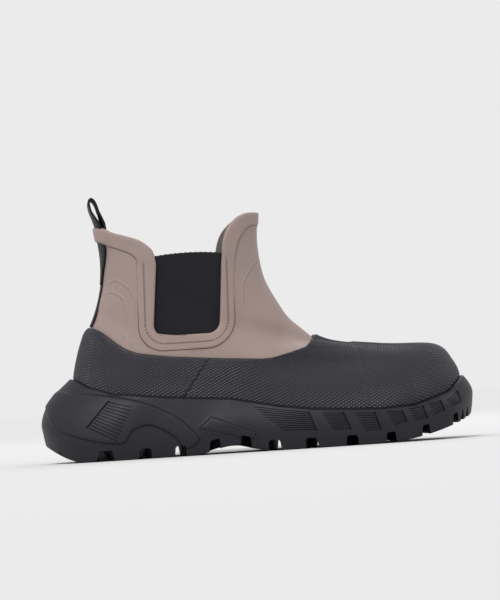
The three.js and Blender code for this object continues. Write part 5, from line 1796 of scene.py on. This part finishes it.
class BOOT_OT_trims(bpy.types.Operator):
    """Builds the pull loop and the back strip"""

    bl_idname = "boot.trims"
    bl_label = "Build loop and strip"

    def execute(self, context):
        build_loop(*settings())
        build_strip(*settings())
        return {"FINISHED"}


class BOOT_OT_stage(bpy.types.Operator):
    """Builds the pale floor and sky, the lights and the camera"""

    bl_idname = "boot.stage"
    bl_label = "Build stage"

    def execute(self, context):
        s, finish = settings()
        build_stage(s, finish)
        return {"FINISHED"}


# The floor's reach each way, in metres.
FLOOR_REACH = 60.0
# Each light's kind, place, size in metres or degrees, power and tint, and the point they light.
LIGHTS = (
    ("key", "SUN", (-0.6, -1.5, 2.0), 14, 1.55, (1, 0.99, 0.98)),
    ("side_box", "AREA", (-1.5, -0.7, 0.8), 0.9, 0.6, (1, 1, 1)),
    ("back_box", "AREA", (0.5, 1.1, 1.3), 0.9, 3.0, (1, 1, 1)),
)
LIT_POINT = (0, 0, 0.06)
# The photograph's scale in pixels a metre at the boot, and its height in pixels. The camera's
# distance and height in metres, its turn toward the heel and its roll in degrees, and how far the
# boot's middle lies to the right of the picture's and below it, in pixels.
PHOTO_SCALE, PHOTO_PIXELS = 1465.0, 600
CAMERA_DISTANCE, CAMERA_HEIGHT, CAMERA_TURN, CAMERA_ROLL = 2.0, 0.02, -4.7, -3.7
CAMERA_SHIFT = (3, 20)


def build_stage(s, finish):
    """A wide pale floor under an even pale sky, a soft sun, two soft boxes, and a camera just over
    the floor, turned a little toward the heel and rolled so that the toe points up."""
    far = FLOOR_REACH
    corners = np.array([(-far, -far, 0), (far, -far, 0), (far, far, 0), (-far, far, 0)])
    t = Tree("pale_paper")
    tone = t.mix_colour(t.noise(3, 2), shade(finish.floor, 0.995), shade(finish.floor, 1.0))
    material = t.finish(tone, 1.0, t.bump(t.noise(400, 2), 0.00001), Specular_IOR_Level=0.0)
    floor = put_mesh(s, "studio_floor", corners, np.array([[0, 1, 2, 3]]), [material])

    world = bpy.data.worlds.new("studio_air")
    bpy.context.scene.world = world
    world.use_nodes = True
    world.node_tree.nodes["Background"].inputs[0].default_value = (*finish.sky, 1)
    world.node_tree.nodes["Background"].inputs[1].default_value = 1.0
    for name, kind, place, size, power, tint in LIGHTS:
        lamp = bpy.data.lights.new(name, kind)
        if kind == "SUN":
            lamp.angle = np.radians(size)
        else:
            lamp.shape = "DISK"
            lamp.size = size
        lamp.energy = power
        lamp.color = tint
        obj = bpy.data.objects.new(name, lamp)
        obj.location = place
        obj.rotation_euler = (Vector(LIT_POINT) - Vector(place)).to_track_quat("-Z", "Y").to_euler()
        bpy.context.scene.collection.objects.link(obj)

    turn, roll = np.radians(CAMERA_TURN), np.radians(CAMERA_ROLL)
    centre = np.array([(a + b) / 2 for a, b in zip(CAD_LOW, CAD_HIGH)])
    tilt = np.arcsin((CAMERA_HEIGHT - centre[2]) / CAMERA_DISTANCE)
    back = np.array([np.sin(turn) * np.cos(tilt), -np.cos(turn) * np.cos(tilt), np.sin(tilt)])
    right = np.array([np.cos(turn), np.sin(turn), 0.0])
    up = np.cross(back, right)
    right, up = np.cos(roll) * right + np.sin(roll) * up, np.cos(roll) * up - np.sin(roll) * right
    aim = centre + (up * CAMERA_SHIFT[1] - right * CAMERA_SHIFT[0]) / PHOTO_SCALE
    place = aim + back * CAMERA_DISTANCE
    camera = bpy.data.cameras.new("camera")
    camera.sensor_width = 36
    camera.lens = camera.sensor_width * CAMERA_DISTANCE * PHOTO_SCALE / PHOTO_PIXELS
    camera.clip_start, camera.clip_end = 0.05, 60
    obj = bpy.data.objects.new("camera", camera)
    obj.matrix_world = Matrix(np.vstack([np.stack([right, up, back, place], 1), [0, 0, 0, 1]]).tolist())
    bpy.context.scene.collection.objects.link(obj)
    bpy.context.scene.camera = obj
    bpy.context.scene.view_settings.view_transform = "Standard"


class BOOT_PT_panel(bpy.types.Panel):
    """Lists the steps that build the boot, its sizes and its finish"""

    bl_idname = "BOOT_PT_panel"
    bl_label = "Rain boot"
    bl_space_type = "VIEW_3D"
    bl_region_type = "UI"
    bl_category = "Rain boot"

    def draw(self, context):
        for name in STEPS:
            self.layout.operator("boot." + name)
        for group in (context.scene.boot_sizes, context.scene.boot_finish):
            for name in group.__annotations__:
                self.layout.prop(group, name)


STEPS = ("upper", "guard", "sole", "panels", "insole", "trims", "stage")
CLASSES = (
    BootSizes,
    BootFinish,
    BOOT_OT_upper,
    BOOT_OT_guard,
    BOOT_OT_sole,
    BOOT_OT_panels,
    BOOT_OT_insole,
    BOOT_OT_trims,
    BOOT_OT_stage,
    BOOT_PT_panel,
)


def register():
    for made in CLASSES:
        bpy.utils.register_class(made)
    bpy.types.Scene.boot_sizes = bpy.props.PointerProperty(type=BootSizes)
    bpy.types.Scene.boot_finish = bpy.props.PointerProperty(type=BootFinish)


def unregister():
    del bpy.types.Scene.boot_finish
    del bpy.types.Scene.boot_sizes
    for made in reversed(CLASSES):
        bpy.utils.unregister_class(made)


def main():
    register()
    for name in STEPS:
        getattr(bpy.ops.boot, name)()


if __name__ == "__main__":
    main()
